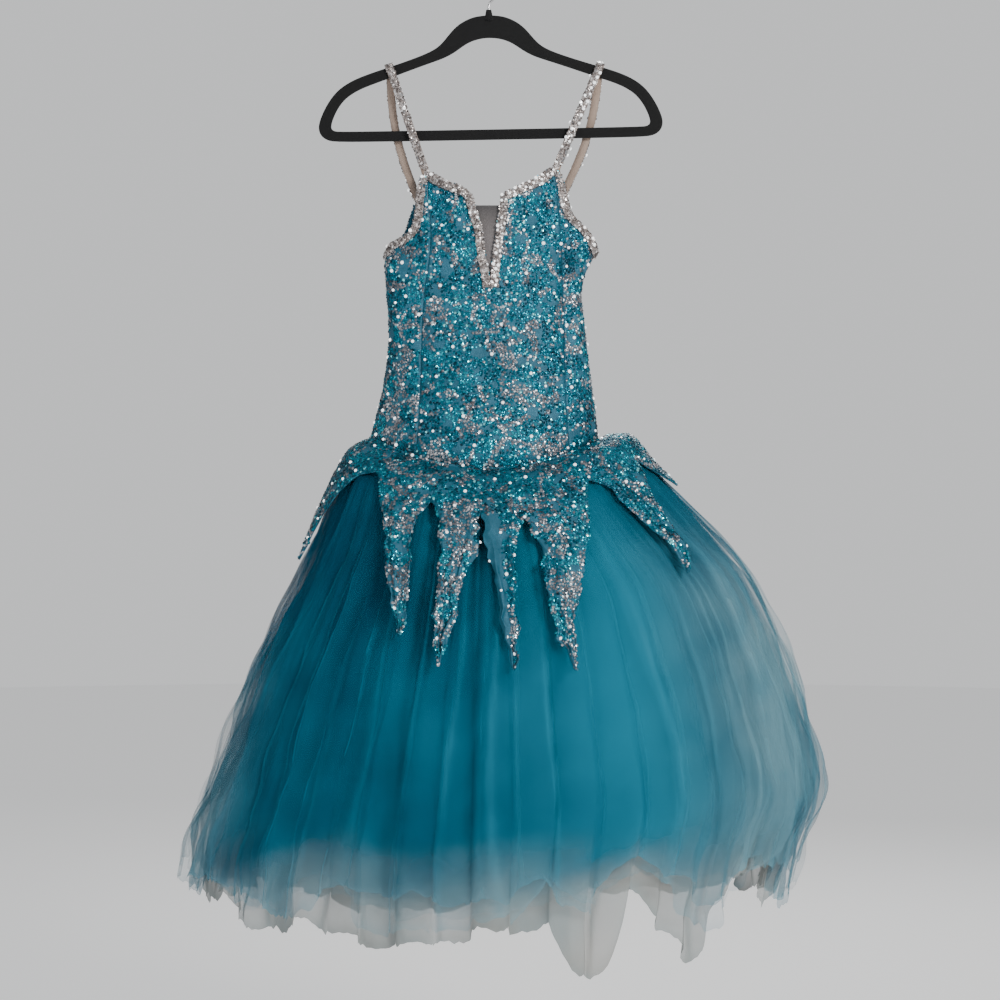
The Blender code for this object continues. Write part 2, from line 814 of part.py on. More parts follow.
def strap_line(strap):
    """Middle line of a strap from its front end over the hanger to its back end,
    with the direction across it at each point."""
    top, arm, up = strap_top(strap)
    centre = top - up * HANGER_THICKNESS / 2
    behind = -(BODICE_WALL + SEAM_GAP + STRAP_THICKNESS / 2)
    front_turn = front_angle(strap.front_x, strap.front_z)
    back_size = bodice_sizes(strap.side * BACK * 0.75, strap.back_z)[0]
    back_turn = strap.side * (BACK - math.asin(abs(strap.back_x) / back_size))
    front_end, front_base = [
        bodice_point(front_turn, strap.front_z - sewn, behind) for sewn in (STRAP_SEWN, 0)
    ]
    back_base, back_end = [
        bodice_point(back_turn, strap.back_z - sewn, behind) for sewn in (0, STRAP_SEWN)
    ]
    arc = []
    for turn in range(0, 181, 20):
        angle = math.radians(turn)
        level = Vector((0, -math.cos(angle) * STRAP_ARC_RADIUS, 0))
        arc.append(centre + level + up * math.sin(angle) * STRAP_ARC_RADIUS)
    rise = [front_base.lerp(arc[0], part) for part in (0.08, 0.20, 0.40, 0.60, 0.80, 0.95)]
    fall = []
    for part in (0.05, 0.15, 0.30, 0.45, 0.60, 0.75, 0.88, 0.96):
        bow = Vector((strap.side * strap.bow * math.sin(math.pi * part), 0, 0))
        fall.append(arc[-1].lerp(back_base, part) + bow)
    points = [front_end, front_base] + rise + arc + fall + [back_base, back_end]
    front_level = level_along(front_turn, strap.front_z)
    back_level = level_along(back_turn, strap.back_z)
    middle = 2 + len(rise) + len(arc) // 2
    widthways = []
    for n, (point, direction) in enumerate(zip(points, directions_along(points))):
        level = front_level if n < middle else back_level
        base = front_base if n < middle else back_base
        share = ease((centre.z - point.z) / (centre.z - base.z))
        across = arm.lerp(level, share)
        across -= direction * across.dot(direction)
        widthways.append(across.normalized())
    return points, widthways


def make_strap(strap, materials):
    """Elastic strap, and the braid on its outer face between the two panels."""
    points, widthways = strap_line(strap)
    outs = [
        across.cross(direction).normalized()
        for across, direction in zip(widthways, directions_along(points))
    ]
    inner = [point - out * STRAP_THICKNESS / 2 for point, out in zip(points, outs)]
    elastic = flat_stations(inner, widthways, outs, STRAP_WIDTH, STRAP_THICKNESS)
    band_object(f"strap_{strap.name}", elastic, materials["strap_elastic"])
    lift = STRAP_THICKNESS / 2 + SEAM_GAP
    keep = slice(2, len(points) - 2)
    outer = [point + out * lift for point, out in zip(points, outs)]
    braid = flat_stations(
        outer[keep], widthways[keep], outs[keep], STRAP_BRAID_WIDTH, BRAID_THICKNESS
    )
    band_object(f"trim_strap_{strap.name}", braid, materials["silver_trim"])


def overskirt_edge(angle):
    """Height of the overskirt's lower edge, and how far across its point a place lies."""
    start = OVERSKIRT_TABS[0].valley
    turn = start + (math.degrees(angle) - start) % 360
    count = len(OVERSKIRT_TABS)
    index = max(n for n in range(count) if OVERSKIRT_TABS[n].valley <= turn)
    here = OVERSKIRT_TABS[index]
    following = OVERSKIRT_TABS[(index + 1) % count]
    next_valley = following.valley + (360 if index == count - 1 else 0)
    if turn < here.tip:
        aside = (here.tip - turn) / (here.tip - here.valley)
        valley_z = here.valley_z
    else:
        aside = (turn - here.tip) / (next_valley - here.tip)
        valley_z = following.valley_z
    reach = 1 - aside ** (1 / here.narrowing)
    return blend(valley_z, here.tip_z, reach), aside


def overskirt_angles():
    """Column angles: every valley and tip, with even steps between them."""
    half = COLUMNS_A_TAB // 2
    count = len(OVERSKIRT_TABS)
    angles = []
    for n, point in enumerate(OVERSKIRT_TABS):
        following = OVERSKIRT_TABS[(n + 1) % count].valley + (360 if n == count - 1 else 0)
        for part in even_steps(half)[:-1]:
            angles.append(math.radians(blend(point.valley, point.tip, part)))
        for part in even_steps(half)[:-1]:
            angles.append(math.radians(blend(point.tip, following, part)))
    return angles


def overskirt_column(angle, out):
    """Points down the overskirt, which bulges a little along the middle of each tab."""
    height, aside = overskirt_edge(angle)
    lowest = level_at(angle, height)
    levels = SEAM_LEVELS + [blend(SEAM_LEVELS[-1], lowest, part) for part in even_steps(5)[1:]]
    points = []
    for level in levels:
        fold = TAB_FOLD * (1 + math.cos(math.pi * aside)) / 2 * ease(level / 5)
        lift = OVERSKIRT_LIFT + OVERSKIRT_WALL + fold
        points.append(skirt_point(angle, level, lift + out))
    return points


def make_overskirt(materials):
    angles = overskirt_angles()
    cloth_object(
        "overskirt",
        lambda out: [[overskirt_column(angle, out) for angle in angles]],
        OVERSKIRT_WALL,
        materials["sequin_cloth"],
        closed=True,
    )


def gather_angle(phase, gathers):
    """Angle of a gather's place, the gathers being a little uneven."""
    even = phase / gathers
    return even + 0.030 * math.sin(3 * even + 0.7) + 0.012 * math.sin(7 * even + 2.1)


def gather_drop(phase, level, column):
    """How far the cloth lies in from its crests at a phase of its waves."""
    depth = read(GATHER_DEPTHS, "level", column, level)
    return depth * (1 - math.cos(phase))


def layer_columns(layer, out):
    """Columns of one gathered layer, four to a gather, from the waist to its hem."""
    columns = []
    for step in range(layer.gathers * COLUMNS_A_GATHER):
        phase = 2 * math.pi * step / COLUMNS_A_GATHER
        angle = gather_angle(phase, layer.gathers)
        lowest = level_at(angle, read_round(layer.hem, "height", angle))
        points = []
        for level in SEAM_LEVELS + LOWER_LEVELS + [lowest]:
            inset = layer.inside(level) + gather_drop(phase, level, layer.column)
            points.append(skirt_point(angle, level, out - inset))
        columns.append(points)
    return columns


def inside_overskirt(level):
    """Inset that clears the overskirt, which has fewer columns."""
    return LAYER_GAP * ease(level)


def inside_overlayer(level):
    """Inset that clears the overlayer's wall at its deepest."""
    deepest = 2 * read(GATHER_DEPTHS, "level", "overlayer", level)
    return inside_overskirt(level) + deepest + TULLE_WALL + LAYER_GAP


Layer = namedtuple("Layer", "column gathers hem inside finish")
TULLE_LAYERS = [
    Layer("overlayer", 32, OVERLAYER_HEM, inside_overskirt, "tulle_blue"),
    Layer("petticoat", 22, PETTICOAT_HEM, inside_overlayer, "tulle_ivory"),
]


def make_tulle(layer, materials):
    cloth_object(
        f"tulle_{layer.column}",
        lambda out: [layer_columns(layer, out)],
        TULLE_WALL,
        materials[layer.finish],
        closed=True,
    )


def hanger_plate():
    """Flat frame of the hanger between its outer and inner outline."""
    right = HANGER_HALF
    left = [
        HangerStation(-row.outer_x, row.outer_drop, -row.inner_x, row.inner_drop)
        for row in HANGER_HALF[-2:0:-1]
    ]
    shape = bmesh.new()
    outline = []
    for row in right + left:
        outer = shape.verts.new((row.outer_x, 0, HANGER_TOP - row.outer_drop))
        inner = shape.verts.new((row.inner_x, 0, HANGER_TOP - row.inner_drop))
        outline.append((outer, inner))
    for n, (outer, inner) in enumerate(outline):
        next_outer, next_inner = outline[(n + 1) % len(outline)]
        shape.faces.new((outer, inner, next_inner, next_outer))
    mesh = bpy.data.meshes.new("hanger")
    shape.to_mesh(mesh)
    shape.free()
    return mesh


def cutter_or_tool(obj):
    obj.hide_render = True
    obj.display_type = "WIRE"
    return obj


def make_hanger(materials):
    obj = finish_object("hanger", hanger_plate(), materials["hanger_flock"])
    wall = obj.modifiers.new("Thickness", "SOLIDIFY")
    wall.thickness = HANGER_THICKNESS
    wall.offset = 0
    rounding = obj.modifiers.new("Rounded edges", "BEVEL")
    rounding.width = HANGER_EDGE_ROUND
    rounding.segments = 2
    rounding.limit_method = "ANGLE"
    rounding.angle_limit = math.radians(60)
    bpy.ops.mesh.primitive_cone_add(
        vertices=16,
        radius1=COLLAR_FOOT_RADIUS,
        radius2=COLLAR_TOP_RADIUS,
        depth=COLLAR_TOP - COLLAR_FOOT,
        location=(0, 0, (COLLAR_TOP + COLLAR_FOOT) / 2),
    )
    collar = cutter_or_tool(bpy.context.object)
    collar.name = "collar"
    joined = obj.modifiers.new("Collar", "BOOLEAN")
    joined.operation = "UNION"
    joined.object = collar
    bpy.ops.mesh.primitive_cylinder_add(
        vertices=12,
        radius=WIRE_RADIUS + SEAM_GAP,
        depth=2 * SHANK_BORE_DEPTH,
        location=(0, 0, COLLAR_TOP),
    )
    bore = cutter_or_tool(bpy.context.object)
    bore.name = "shank_bore"
    drilled = obj.modifiers.new("Shank bore", "BOOLEAN")
    drilled.operation = "DIFFERENCE"
    drilled.object = bore
    tilt_about_hook(obj)
    tilt_about_hook(collar)
    tilt_about_hook(bore)


def tilt_about_hook(obj):
    """Turns an object about the Y axis through the origin."""
    place = obj.location.copy()
    obj.rotation_euler = (0, -HANGER_TILT, 0)
    obj.location = (
        place.x * math.cos(HANGER_TILT) - place.z * math.sin(HANGER_TILT),
        place.y,
        place.x * math.sin(HANGER_TILT) + place.z * math.cos(HANGER_TILT),
    )


def hook_points():
    """Wire of the hook: a round crook, a bend back to the middle and the shank."""
    radius = HOOK_INNER_RADIUS + WIRE_RADIUS
    centre_z = -HOOK_INNER_RADIUS
    points = []
    for degrees in range(200, -51, -14):
        angle = math.radians(degrees)
        points.append(Vector((radius * math.cos(angle), 0, centre_z + radius * math.sin(angle))))
    start = points[-1]
    leaving = (points[-1] - points[-2]).normalized() * 0.012
    end = Vector((0, 0, -0.0455))
    arriving = Vector((0, 0, -0.010))
    for t in [0.2, 0.4, 0.6, 0.8, 1.0]:
        points.append(
            (2 * t**3 - 3 * t**2 + 1) * start
            + (t**3 - 2 * t**2 + t) * leaving
            + (3 * t**2 - 2 * t**3) * end
            + (t**3 - t**2) * arriving
        )
    points.append(Vector((0, 0, COLLAR_TOP - SHANK_BORE_DEPTH + SEAM_GAP)))
    return points


def make_hook(materials):
    curve = bpy.data.curves.new("hanger_hook", "CURVE")
    curve.dimensions = "3D"
    curve.bevel_depth = WIRE_RADIUS
    curve.bevel_resolution = 2
    curve.use_fill_caps = True
    points = hook_points()
    spline = curve.splines.new("POLY")
    spline.points.add(len(points) - 1)
    for target, point in zip(spline.points, points):
        target.co = (*point, 1.0)
    curve.materials.append(materials["hook_steel"])
    obj = bpy.data.objects.new("hanger_hook", curve)
    bpy.context.scene.collection.objects.link(obj)
    tilt_about_hook(obj)


def build():
    clear_scene()
    materials = make_materials()
    make_hanger(materials)
    make_hook(materials)
    for strap in STRAPS:
        make_strap(strap, materials)
    make_bodice_front(materials)
    make_bodice_back(materials)
    make_plunge_mesh(materials)
    for side in (-1, 1):
        make_bodice_side(side, materials)
        make_neck_braid(side, materials)
        make_armhole_braid(side, materials)
    make_overskirt(materials)
    for layer in TULLE_LAYERS:
        make_tulle(layer, materials)


build()
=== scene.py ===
"""A sequinned dance dress with a gathered tulle skirt, on a slim flocked hanger.

Metres, +Z up, the front towards -Y. Angles go round the dress from the centre
front, 90 degrees at its +X side. The frame gives the panels, trims, straps and
hanger, and the tulle is laid out here on the same skirt rings.
"""

import math
from collections import namedtuple

import bmesh
import bpy
import numpy as np
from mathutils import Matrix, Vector, noise
from mathutils.bvhtree import BVHTree


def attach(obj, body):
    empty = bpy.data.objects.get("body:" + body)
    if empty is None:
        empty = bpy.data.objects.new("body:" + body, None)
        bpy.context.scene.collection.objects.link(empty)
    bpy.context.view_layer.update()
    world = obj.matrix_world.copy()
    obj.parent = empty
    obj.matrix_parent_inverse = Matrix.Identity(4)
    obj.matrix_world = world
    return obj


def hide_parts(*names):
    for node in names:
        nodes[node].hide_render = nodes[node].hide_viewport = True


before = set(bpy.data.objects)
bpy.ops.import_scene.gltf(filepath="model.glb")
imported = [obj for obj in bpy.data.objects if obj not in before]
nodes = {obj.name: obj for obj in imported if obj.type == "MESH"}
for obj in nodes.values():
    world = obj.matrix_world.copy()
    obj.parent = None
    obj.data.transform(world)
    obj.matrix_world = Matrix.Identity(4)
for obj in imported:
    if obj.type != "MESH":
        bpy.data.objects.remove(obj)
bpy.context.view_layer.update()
bpy.ops.object.select_all(action="DESELECT")

# Camera: the picture is 1000 points wide, and x = 0 lies at point 488
CAMERA_DISTANCE = 3.0
CAMERA_HEIGHT = -0.6821
VIEW_WIDTH = 1.286
SENSOR = 36.0
VIEW_SHIFT = 0.012
FLOOR_HEIGHT = -1.62
FLOOR_RADIUS = 9.0

# Sequins and stones
SEQUIN_RADIUS = 0.00185
SEQUIN_SPACING = 0.0030
SEQUIN_LIFT = 0.0006
SEQUIN_CUP = 0.22
SEQUIN_TILT = math.radians(24)
SEAM_CLEARANCE = 0.0017
STONE_RADIUS = 0.0021
STONE_SPACING = 0.0205
BRAID_SEQUIN_RADIUS = 0.0018
BRAID_SEQUIN_SPACING = 0.0020
BRAID_WIDTH = 0.0078
CORNER_REACH = 0.0040
BRAID_STONE_LIFT = 0.0022
CLOSE_STONES = 0.0068

# The pointed overskirt: its cloth, how it stands off the skirt, and the mesh of each point
OVERSKIRT_WALL = 0.0012
OVERSKIRT_LIFT = 0.0024
POINT_COLUMNS = 36
POINT_ROWS = 44
LEAST_WIDTH = 0.25

# Rings of the skirt, from the waist seam down
Ring = namedtuple("Ring", "left left_z right right_z front front_z back back_z tilt")
SKIRT = [
    Ring(0.1485, -0.6000, 0.1388, -0.6045, 0.0752, -0.6405, 0.0655, -0.6265, 0),
    Ring(0.1500, -0.6045, 0.1412, -0.6085, 0.0772, -0.6450, 0.0675, -0.6310, 40),
    Ring(0.1610, -0.6090, 0.1520, -0.6015, 0.0880, -0.6490, 0.0790, -0.6350, 75),
    Ring(0.1760, -0.6180, 0.1780, -0.5990, 0.1030, -0.6570, 0.0920, -0.6430, 65),
    Ring(0.1950, -0.6500, 0.2170, -0.6400, 0.1330, -0.6880, 0.1170, -0.6740, 47),
    Ring(0.2170, -0.7000, 0.2780, -0.7000, 0.1640, -0.7350, 0.1430, -0.7200, 41),
    Ring(0.2500, -0.7700, 0.3490, -0.7750, 0.1950, -0.8000, 0.1680, -0.7900, 33),
    Ring(0.2980, -0.8600, 0.3910, -0.8600, 0.2220, -0.8800, 0.1900, -0.8700, 23),
    Ring(0.3370, -0.9500, 0.4235, -0.9500, 0.2420, -0.9600, 0.2070, -0.9550, 18),
    Ring(0.3730, -1.0400, 0.4440, -1.0400, 0.2560, -1.0400, 0.2200, -1.0400, 12),
    Ring(0.4010, -1.1200, 0.4210, -1.1200, 0.2620, -1.1200, 0.2270, -1.1200, 4),
    Ring(0.4110, -1.2000, 0.4060, -1.2000, 0.2660, -1.2000, 0.2310, -1.2000, 0),
    Ring(0.4120, -1.3000, 0.4000, -1.3000, 0.2680, -1.3000, 0.2330, -1.3000, 0),
]

# Points of the overskirt, from the left round the front to the back. Each edge runs from
# a valley down to the tip, as ring level and angle. groove is where its deepest fold lies
Point = namedtuple("Point", "left right groove depth stand")
POINTS = [
    Point([(3.50, -105), (4.2, -97), (5.0, -88), (5.84, -76)],
          [(3.54, -47.8), (3.70, -55.8), (3.90, -59.4), (4.24, -63.8), (4.60, -69), (5.24, -74), (5.84, -75.4)],
          0.55, 0.004, 0.35),
    Point([(3.54, -47.8), (3.60, -46.4), (4.18, -42.0), (4.72, -37.2), (5.50, -31.8), (6.02, -28.2),
           (6.32, -25.4), (6.62, -21.8)],
          [(4.08, -20.6), (4.28, -21.6), (4.46, -24.2), (4.72, -24.8), (4.86, -25.6), (5.44, -24.4),
           (5.98, -22.6), (6.30, -21.8), (6.62, -21.4)], 0.74, 0.007, 1),
    Point([(4.08, -20.6), (4.14, -19.2), (4.52, -16.8), (5.22, -15.0), (5.72, -14.4), (6.26, -14.0),
           (6.72, -12.6), (7.04, -11.7)],
          [(4.38, -2.4), (4.46, -3.0), (4.90, -3.4), (5.34, -3.8), (5.48, -6.0), (6.00, -7.8), (6.34, -8.2),
           (6.52, -9.2), (6.84, -10.8), (7.04, -11.4)], 0.62, 0.005, 1),
    Point([(4.38, -2.4), (4.46, -1.6), (5.08, -0.4), (5.72, 1.6), (6.00, 1.9), (6.32, 2.4), (6.70, 3.2), (7.08, 4.3)],
          [(4.44, 10.0), (4.62, 8.8), (4.92, 7.6), (5.44, 5.6), (5.92, 5.4), (6.32, 5.7), (6.74, 5.1), (7.08, 4.6)],
          0.50, 0.009, 1),
    Point([(4.44, 10.0), (4.62, 10.6), (4.84, 11.2), (5.12, 13.0), (5.70, 11.6), (6.04, 11.7), (6.42, 12.6),
           (6.66, 12.9), (7.10, 15.1)],
          [(3.78, 37.2), (3.84, 35.8), (4.40, 30.6), (5.02, 25.6), (5.52, 21.4), (5.94, 18.8), (6.18, 16.8),
           (6.66, 15.7), (7.10, 15.4)], 0.70, 0.007, 1),
    Point([(3.78, 37.2), (3.90, 40.8), (4.06, 43.2), (4.40, 43.0), (4.70, 43.6), (5.06, 45.4), (5.34, 47.6),
           (5.56, 46.8), (5.82, 46.1)],
          [(3.74, 66.4), (4.08, 63.0), (4.40, 57.4), (4.84, 54.8), (5.26, 52.2), (5.50, 51.4), (5.72, 47.9),
           (5.82, 46.6)], 0.52, 0.009, 0.8),
    Point([(3.74, 66.4), (3.95, 70), (4.2, 75), (4.45, 82.5)],
          [(3.60, 100), (3.95, 94), (4.2, 88), (4.45, 83.5)], 0.5, 0.004, 0.25),
    Point([(3.60, 100), (4.3, 105), (5.0, 109), (5.8, 113), (6.5, 116)],
          [(4.10, 131), (4.5, 127), (5.0, 122.5), (5.8, 119), (6.5, 116.5)], 0.6, 0.006, 0.7),
    Point([(4.10, 131), (4.5, 136), (5.2, 140.5), (6.0, 144), (6.9, 147)],
          [(4.20, 162), (4.6, 157), (5.2, 153), (6.0, 150), (6.9, 147.4)], 0.42, 0.006, 1),
    Point([(4.20, 162), (4.6, 167), (5.2, 171), (6.0, 175), (7.0, 178)],
          [(4.20, 193), (4.6, 188), (5.2, 184), (6.0, 181), (7.0, 178.4)], 0.58, 0.006, 1),
    Point([(4.20, 193), (4.6, 198), (5.2, 202), (6.0, 206), (6.9, 209)],
          [(4.10, 224), (4.6, 219), (5.2, 215), (6.0, 212), (6.9, 209.4)], 0.45, 0.006, 1),
    Point([(4.10, 224), (4.5, 229), (5.0, 233), (5.8, 237), (6.5, 240)],
          [(3.50, 255), (4.4, 250), (5.0, 246), (5.8, 243), (6.5, 240.5)], 0.6, 0.006, 0.7),
]

# Hems of the tulle, as angle in degrees and height
BLUE_HEM = [
    (-100, -1.150), (-86, -1.182), (-70, -1.155), (-52, -1.163), (-38, -1.192),
    (-31, -1.147), (-15, -1.155), (3, -1.160), (8, -1.132), (17, -1.172),
    (25, -1.106), (34, -1.132), (45, -1.168), (56, -1.118), (72, -1.180),
    (86, -1.195), (98, -1.110), (112, -1.140), (135, -1.120), (160, -1.150),
    (182, -1.125), (205, -1.150), (232, -1.120),
]
DEEP_HEM = [
    (-100, -1.140), (-84, -1.166), (-66, -1.156), (-48, -1.184), (-30, -1.156),
    (-16, -1.178), (0, -1.172), (12, -1.160), (28, -1.126), (46, -1.138),
    (62, -1.126), (84, -1.164), (104, -1.116), (130, -1.142), (160, -1.130),
    (190, -1.146), (224, -1.122),
]
VEIL_HEM = [
    (-98, -1.120), (-84, -1.168), (-68, -1.130), (-54, -1.160), (-44, -1.176),
    (-33, -1.128), (-26, -1.150), (-20, -1.196), (-8, -1.188), (5, -1.176),
    (10, -1.130), (18, -1.165), (25, -1.120), (34, -1.160), (43, -1.205),
    (49, -1.160), (62, -1.120), (76, -1.175), (88, -1.150), (104, -1.100),
    (128, -1.145), (154, -1.115), (180, -1.150), (206, -1.120), (236, -1.150),
]
IVORY_HEM = [
    (-96, -1.150), (-84, -1.190), (-66, -1.176), (-50, -1.210), (-36, -1.196),
    (-18, -1.218), (-4, -1.205), (6, -1.192), (12, -1.196), (16, -1.252),
    (22, -1.252), (26, -1.150), (32, -1.182), (43, -1.244), (50, -1.175),
    (62, -1.136), (76, -1.190), (90, -1.150), (110, -1.190), (134, -1.170),
    (158, -1.200), (180, -1.180), (204, -1.205), (230, -1.175), (250, -1.195),
]
LINING_HEM = [
    (-95, -1.130), (-70, -1.160), (-45, -1.150), (-20, -1.175), (0, -1.165),
    (24, -1.150), (46, -1.160), (70, -1.130), (95, -1.150), (130, -1.145),
    (170, -1.160), (215, -1.150),
]

# One entry a sheet of tulle, outermost first. out is how far it stands off the rings at
# the waist and at the hem, fine and broad the depths of its gathers at both, cover how
# much it hides, and fade how much of that it loses towards its hem
LAYER_ROOM = 0.0022
SWING_FOLDS = 25
Tulle = namedtuple(
    "Tulle",
    "name node slot hem start out_top out_hem fine_gathers fine_top fine_hem "
    "broad_folds broad_top broad_hem seed columns rows cover fade strips step flat cut_area",
)
TULLE = [
    Tulle("tulle_veil", None, "tulle_blue", VEIL_HEM, 2.6, -0.0010, 0.0045, 96, 0.0022, 0.0014,
          25, 0.0012, 0.0120, 3, 860, 76, 0.30, 0, 37, 0.0040, (2.6, 0.60), 1.15),
    Tulle("tulle_overlayer_sheet", "tulle_overlayer", "tulle_blue", BLUE_HEM, 0.6, -0.0042, -0.0080,
          84, 0.0024, 0.0014, 29, 0.0012, 0.0135, 11, 900, 78, 0.50, 0, 47, 0.0032, (2.7, 0.62), 1.20),
    Tulle("tulle_deep_layer", None, "tulle_blue", DEEP_HEM, 1.2, -0.0085, -0.0200, 76, 0.0024, 0.0016,
          31, 0.0012, 0.0120, 19, 640, 62, 0.97, 0.85, 29, 0.0, (2.6, 0.60), 1.10),
    Tulle("tulle_petticoat_sheet", "tulle_petticoat", "tulle_ivory", IVORY_HEM, 0.8, -0.0125, -0.0290,
          64, 0.0022, 0.0016, 27, 0.0012, 0.0125, 27, 740, 74, 0.92, 0, 41, 0.0010, (2.6, 0.66), 1.25),
    Tulle("tulle_petticoat_lining", None, "tulle_ivory", LINING_HEM, 1.2, -0.0170, -0.0380, 56, 0.0022, 0.0012,
          23, 0.0012, 0.0100, 35, 480, 56, 0.97, 0.1, 19, 0.0, (2.4, 0.62), 1.05),
]


def blend(first, second, part):
    return first + (second - first) * part


def smooth_step(low, high, value):
    part = np.clip((value - low) / (high - low), 0.0, 1.0)
    return part * part * (3 - 2 * part)


def slopes_between(steps):
    """Slopes at the inner points of a curve that keep it from overshooting them."""
    product = steps[:-1] * steps[1:]
    total = steps[:-1] + steps[1:]
    return np.where(product > 0, 2 * product / np.where(total == 0, 1.0, total), 0.0)


def hermite(first, second, first_slope, second_slope, part):
    square = part * part
    cube = square * part
    return (
        (2 * cube - 3 * square + 1) * first
        + (cube - 2 * square + part) * first_slope
        + (3 * square - 2 * cube) * second
        + (cube - square) * second_slope
    )


def read_hem(hem, degrees):
    """Height of a hem at each angle, once round."""
    start = hem[0][0]
    turn = start + (degrees - start) % 360
    keys = np.array([point[0] for point in hem] + [start + 360.0])
    heights = np.array([point[1] for point in hem] + [hem[0][1]])
    widths = np.diff(keys)
    steps = np.diff(heights) / widths
    inner = slopes_between(steps)
    slopes = np.concatenate([steps[:1], inner, steps[-1:]])
    i = np.clip(np.searchsorted(keys, turn, side="right") - 1, 0, len(keys) - 2)
    part = (turn - keys[i]) / widths[i]
    return hermite(heights[i], heights[i + 1], widths[i] * slopes[i], widths[i] * slopes[i + 1], part)


def ring_rows(angles):
    """X, y, z, side size, depth and tilt of every ring at each angle."""
    right = np.sin(angles) > 0
    front = np.cos(angles) > 0
    rows = []
    for ring in SKIRT:
        side = np.where(right, ring.right, ring.left)
        side_z = np.where(right, ring.right_z, ring.left_z)
        depth = np.where(front, ring.front, ring.back)
        depth_z = np.where(front, ring.front_z, ring.back_z)
        height = depth_z * np.cos(angles) ** 2 + side_z * np.sin(angles) ** 2
        tilt = np.full_like(angles, math.radians(ring.tilt))
        rows.append(np.stack([side * np.sin(angles), -depth * np.cos(angles), height, side, depth, tilt]))
    return np.array(rows)


def read_rings(rows, levels):
    """Reads the rings at levels[row, column], and gives one value of each kind at each."""
    steps = np.diff(rows, axis=0)
    slopes = np.concatenate([steps[:1], slopes_between(steps), steps[-1:]])
    i = np.clip(levels.astype(int), 0, len(rows) - 2)
    column = np.arange(levels.shape[1])[None, :]
    part = (levels - i)[..., None]
    return hermite(
        rows[i, :, column], rows[i + 1, :, column], slopes[i, :, column], slopes[i + 1, :, column], part
    )


def levels_at(rows, heights):
    """Level at which each column comes down to its height, found by halving."""
    high = np.full_like(heights, 1.0)
    low = np.full_like(heights, len(SKIRT) - 1.0)
    for _ in range(24):
        middle = (high + low) / 2
        above = read_rings(rows, middle[None, :])[0, :, 2] > heights
        high = np.where(above, middle, high)
        low = np.where(above, low, middle)
    return (high + low) / 2


def skirt_places(angles, levels, out):
    """Points on the skirt's rings, moved outward by out."""
    values = read_rings(ring_rows(angles), levels)
    across = np.sin(angles)[None, :] / values[..., 3]
    forward = -np.cos(angles)[None, :] / values[..., 4]
    length = np.hypot(across, forward)
    tilt = values[..., 5]
    direction = np.stack(
        [across / length * np.cos(tilt), forward / length * np.cos(tilt), np.sin(tilt)], axis=-1
    )
    return values[..., :3] + direction * out[..., None]


def wave_round(count, random, spread):
    """A function of angles: uneven waves round the skirt, about count of them, and their phase."""
    bends = [
        (k, random.uniform(0.9, 2.6) * spread / k, random.uniform(0, 2 * math.pi)) for k in (2, 3, 5, 7, 11)
    ]
    beats = int(random.integers(5, 9))
    beat_start = random.uniform(0, 2 * math.pi)

    def wave(angles):
        phase = count * angles + sum(size * np.sin(k * angles + start) for k, size, start in bends)
        return np.cos(phase) * (0.72 + 0.28 * np.sin(beats * angles + beat_start)), phase

    return wave


def strip_maker(layer, random):
    """A function of angles and levels: the tone of the strip between two fold edges there,
    how near one of those edges is, and how far across the strip the place lies."""
    tones = random.uniform(-1, 1, layer.strips)
    bends = [(k, random.uniform(0.3, 0.9) / k**0.5, random.uniform(0, 2 * math.pi)) for k in (2, 3, 5, 8)]

    def strips(angles, levels):
        phase = layer.strips * (angles + math.pi) / (2 * math.pi)
        phase = phase + sum(size * np.sin(k * angles + start) for k, size, start in bends)
        phase = phase + 0.10 * np.sin(0.9 * levels + 6 * angles)
        place = phase - np.floor(phase)
        index = np.floor(phase).astype(int) % layer.strips
        near = np.exp(-((np.minimum(place, 1 - place) / 0.055) ** 2))
        return tones[index], near, place

    return strips


def fold_maker(layer, strips):
    """A function of angles and levels: how far the layer stands off the rings there."""
    random = np.random.default_rng(layer.seed)
    fine = wave_round(layer.fine_gathers, random, 0.35)
    broad = wave_round(layer.broad_folds, random, 0.55)
    second = wave_round(layer.broad_folds + 18, random, 0.8)

    def stand_off(angles, levels):
        opening = smooth_step(layer.start, 5.5, levels)
        fine_part = 1 - smooth_step(3.0, 9.0, levels)
        broad_part = smooth_step(1.5, 10.5, levels)
        out = blend(layer.out_top, layer.out_hem, smooth_step(1.0, 8.0, levels))
        out = out - (1 - fine(angles)[0]) * blend(layer.fine_hem, layer.fine_top, fine_part) * opening
        folds = 1 - 0.7 * broad(angles)[0] - 0.3 * second(angles)[0]
        out -= folds * blend(layer.broad_top, layer.broad_hem, broad_part)
        out -= layer.step * strips(angles, levels)[2] * smooth_step(2.6, 6.0, levels)
        drift = 0.0045 * np.sin(3.1 * levels + 2.0 * np.sin(9 * angles) + layer.seed)
        crease = 0.0016 * np.sin(7.7 * levels + 23 * angles + 1.7 * np.sin(5 * angles))
        return out + (drift - 0.0045 + crease - 0.0016) * broad_part

    return stand_off, broad


def new_object(name, points, faces):
    mesh = bpy.data.meshes.new(name)
    mesh.from_pydata([tuple(point) for point in points], [], [tuple(face) for face in faces])
    mesh.update()
    obj = bpy.data.objects.new(name, mesh)
    bpy.context.scene.collection.objects.link(obj)
    return obj


def add_attribute(obj, name, values):
    attribute = obj.data.attributes.new(name, "FLOAT", "POINT")
    attribute.data.foreach_set("value", np.asarray(values, np.float32).ravel())


def apply_modifiers(obj):
    bpy.ops.object.select_all(action="DESELECT")
    obj.select_set(True)
    bpy.context.view_layer.objects.active = obj
    for modifier in list(obj.modifiers):
        bpy.ops.object.modifier_apply(modifier=modifier.name)
    obj.select_set(False)


def finish_piece(obj, material):
    obj.data.materials.clear()
    obj.data.materials.append(material)
    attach(obj, "root")
    return obj


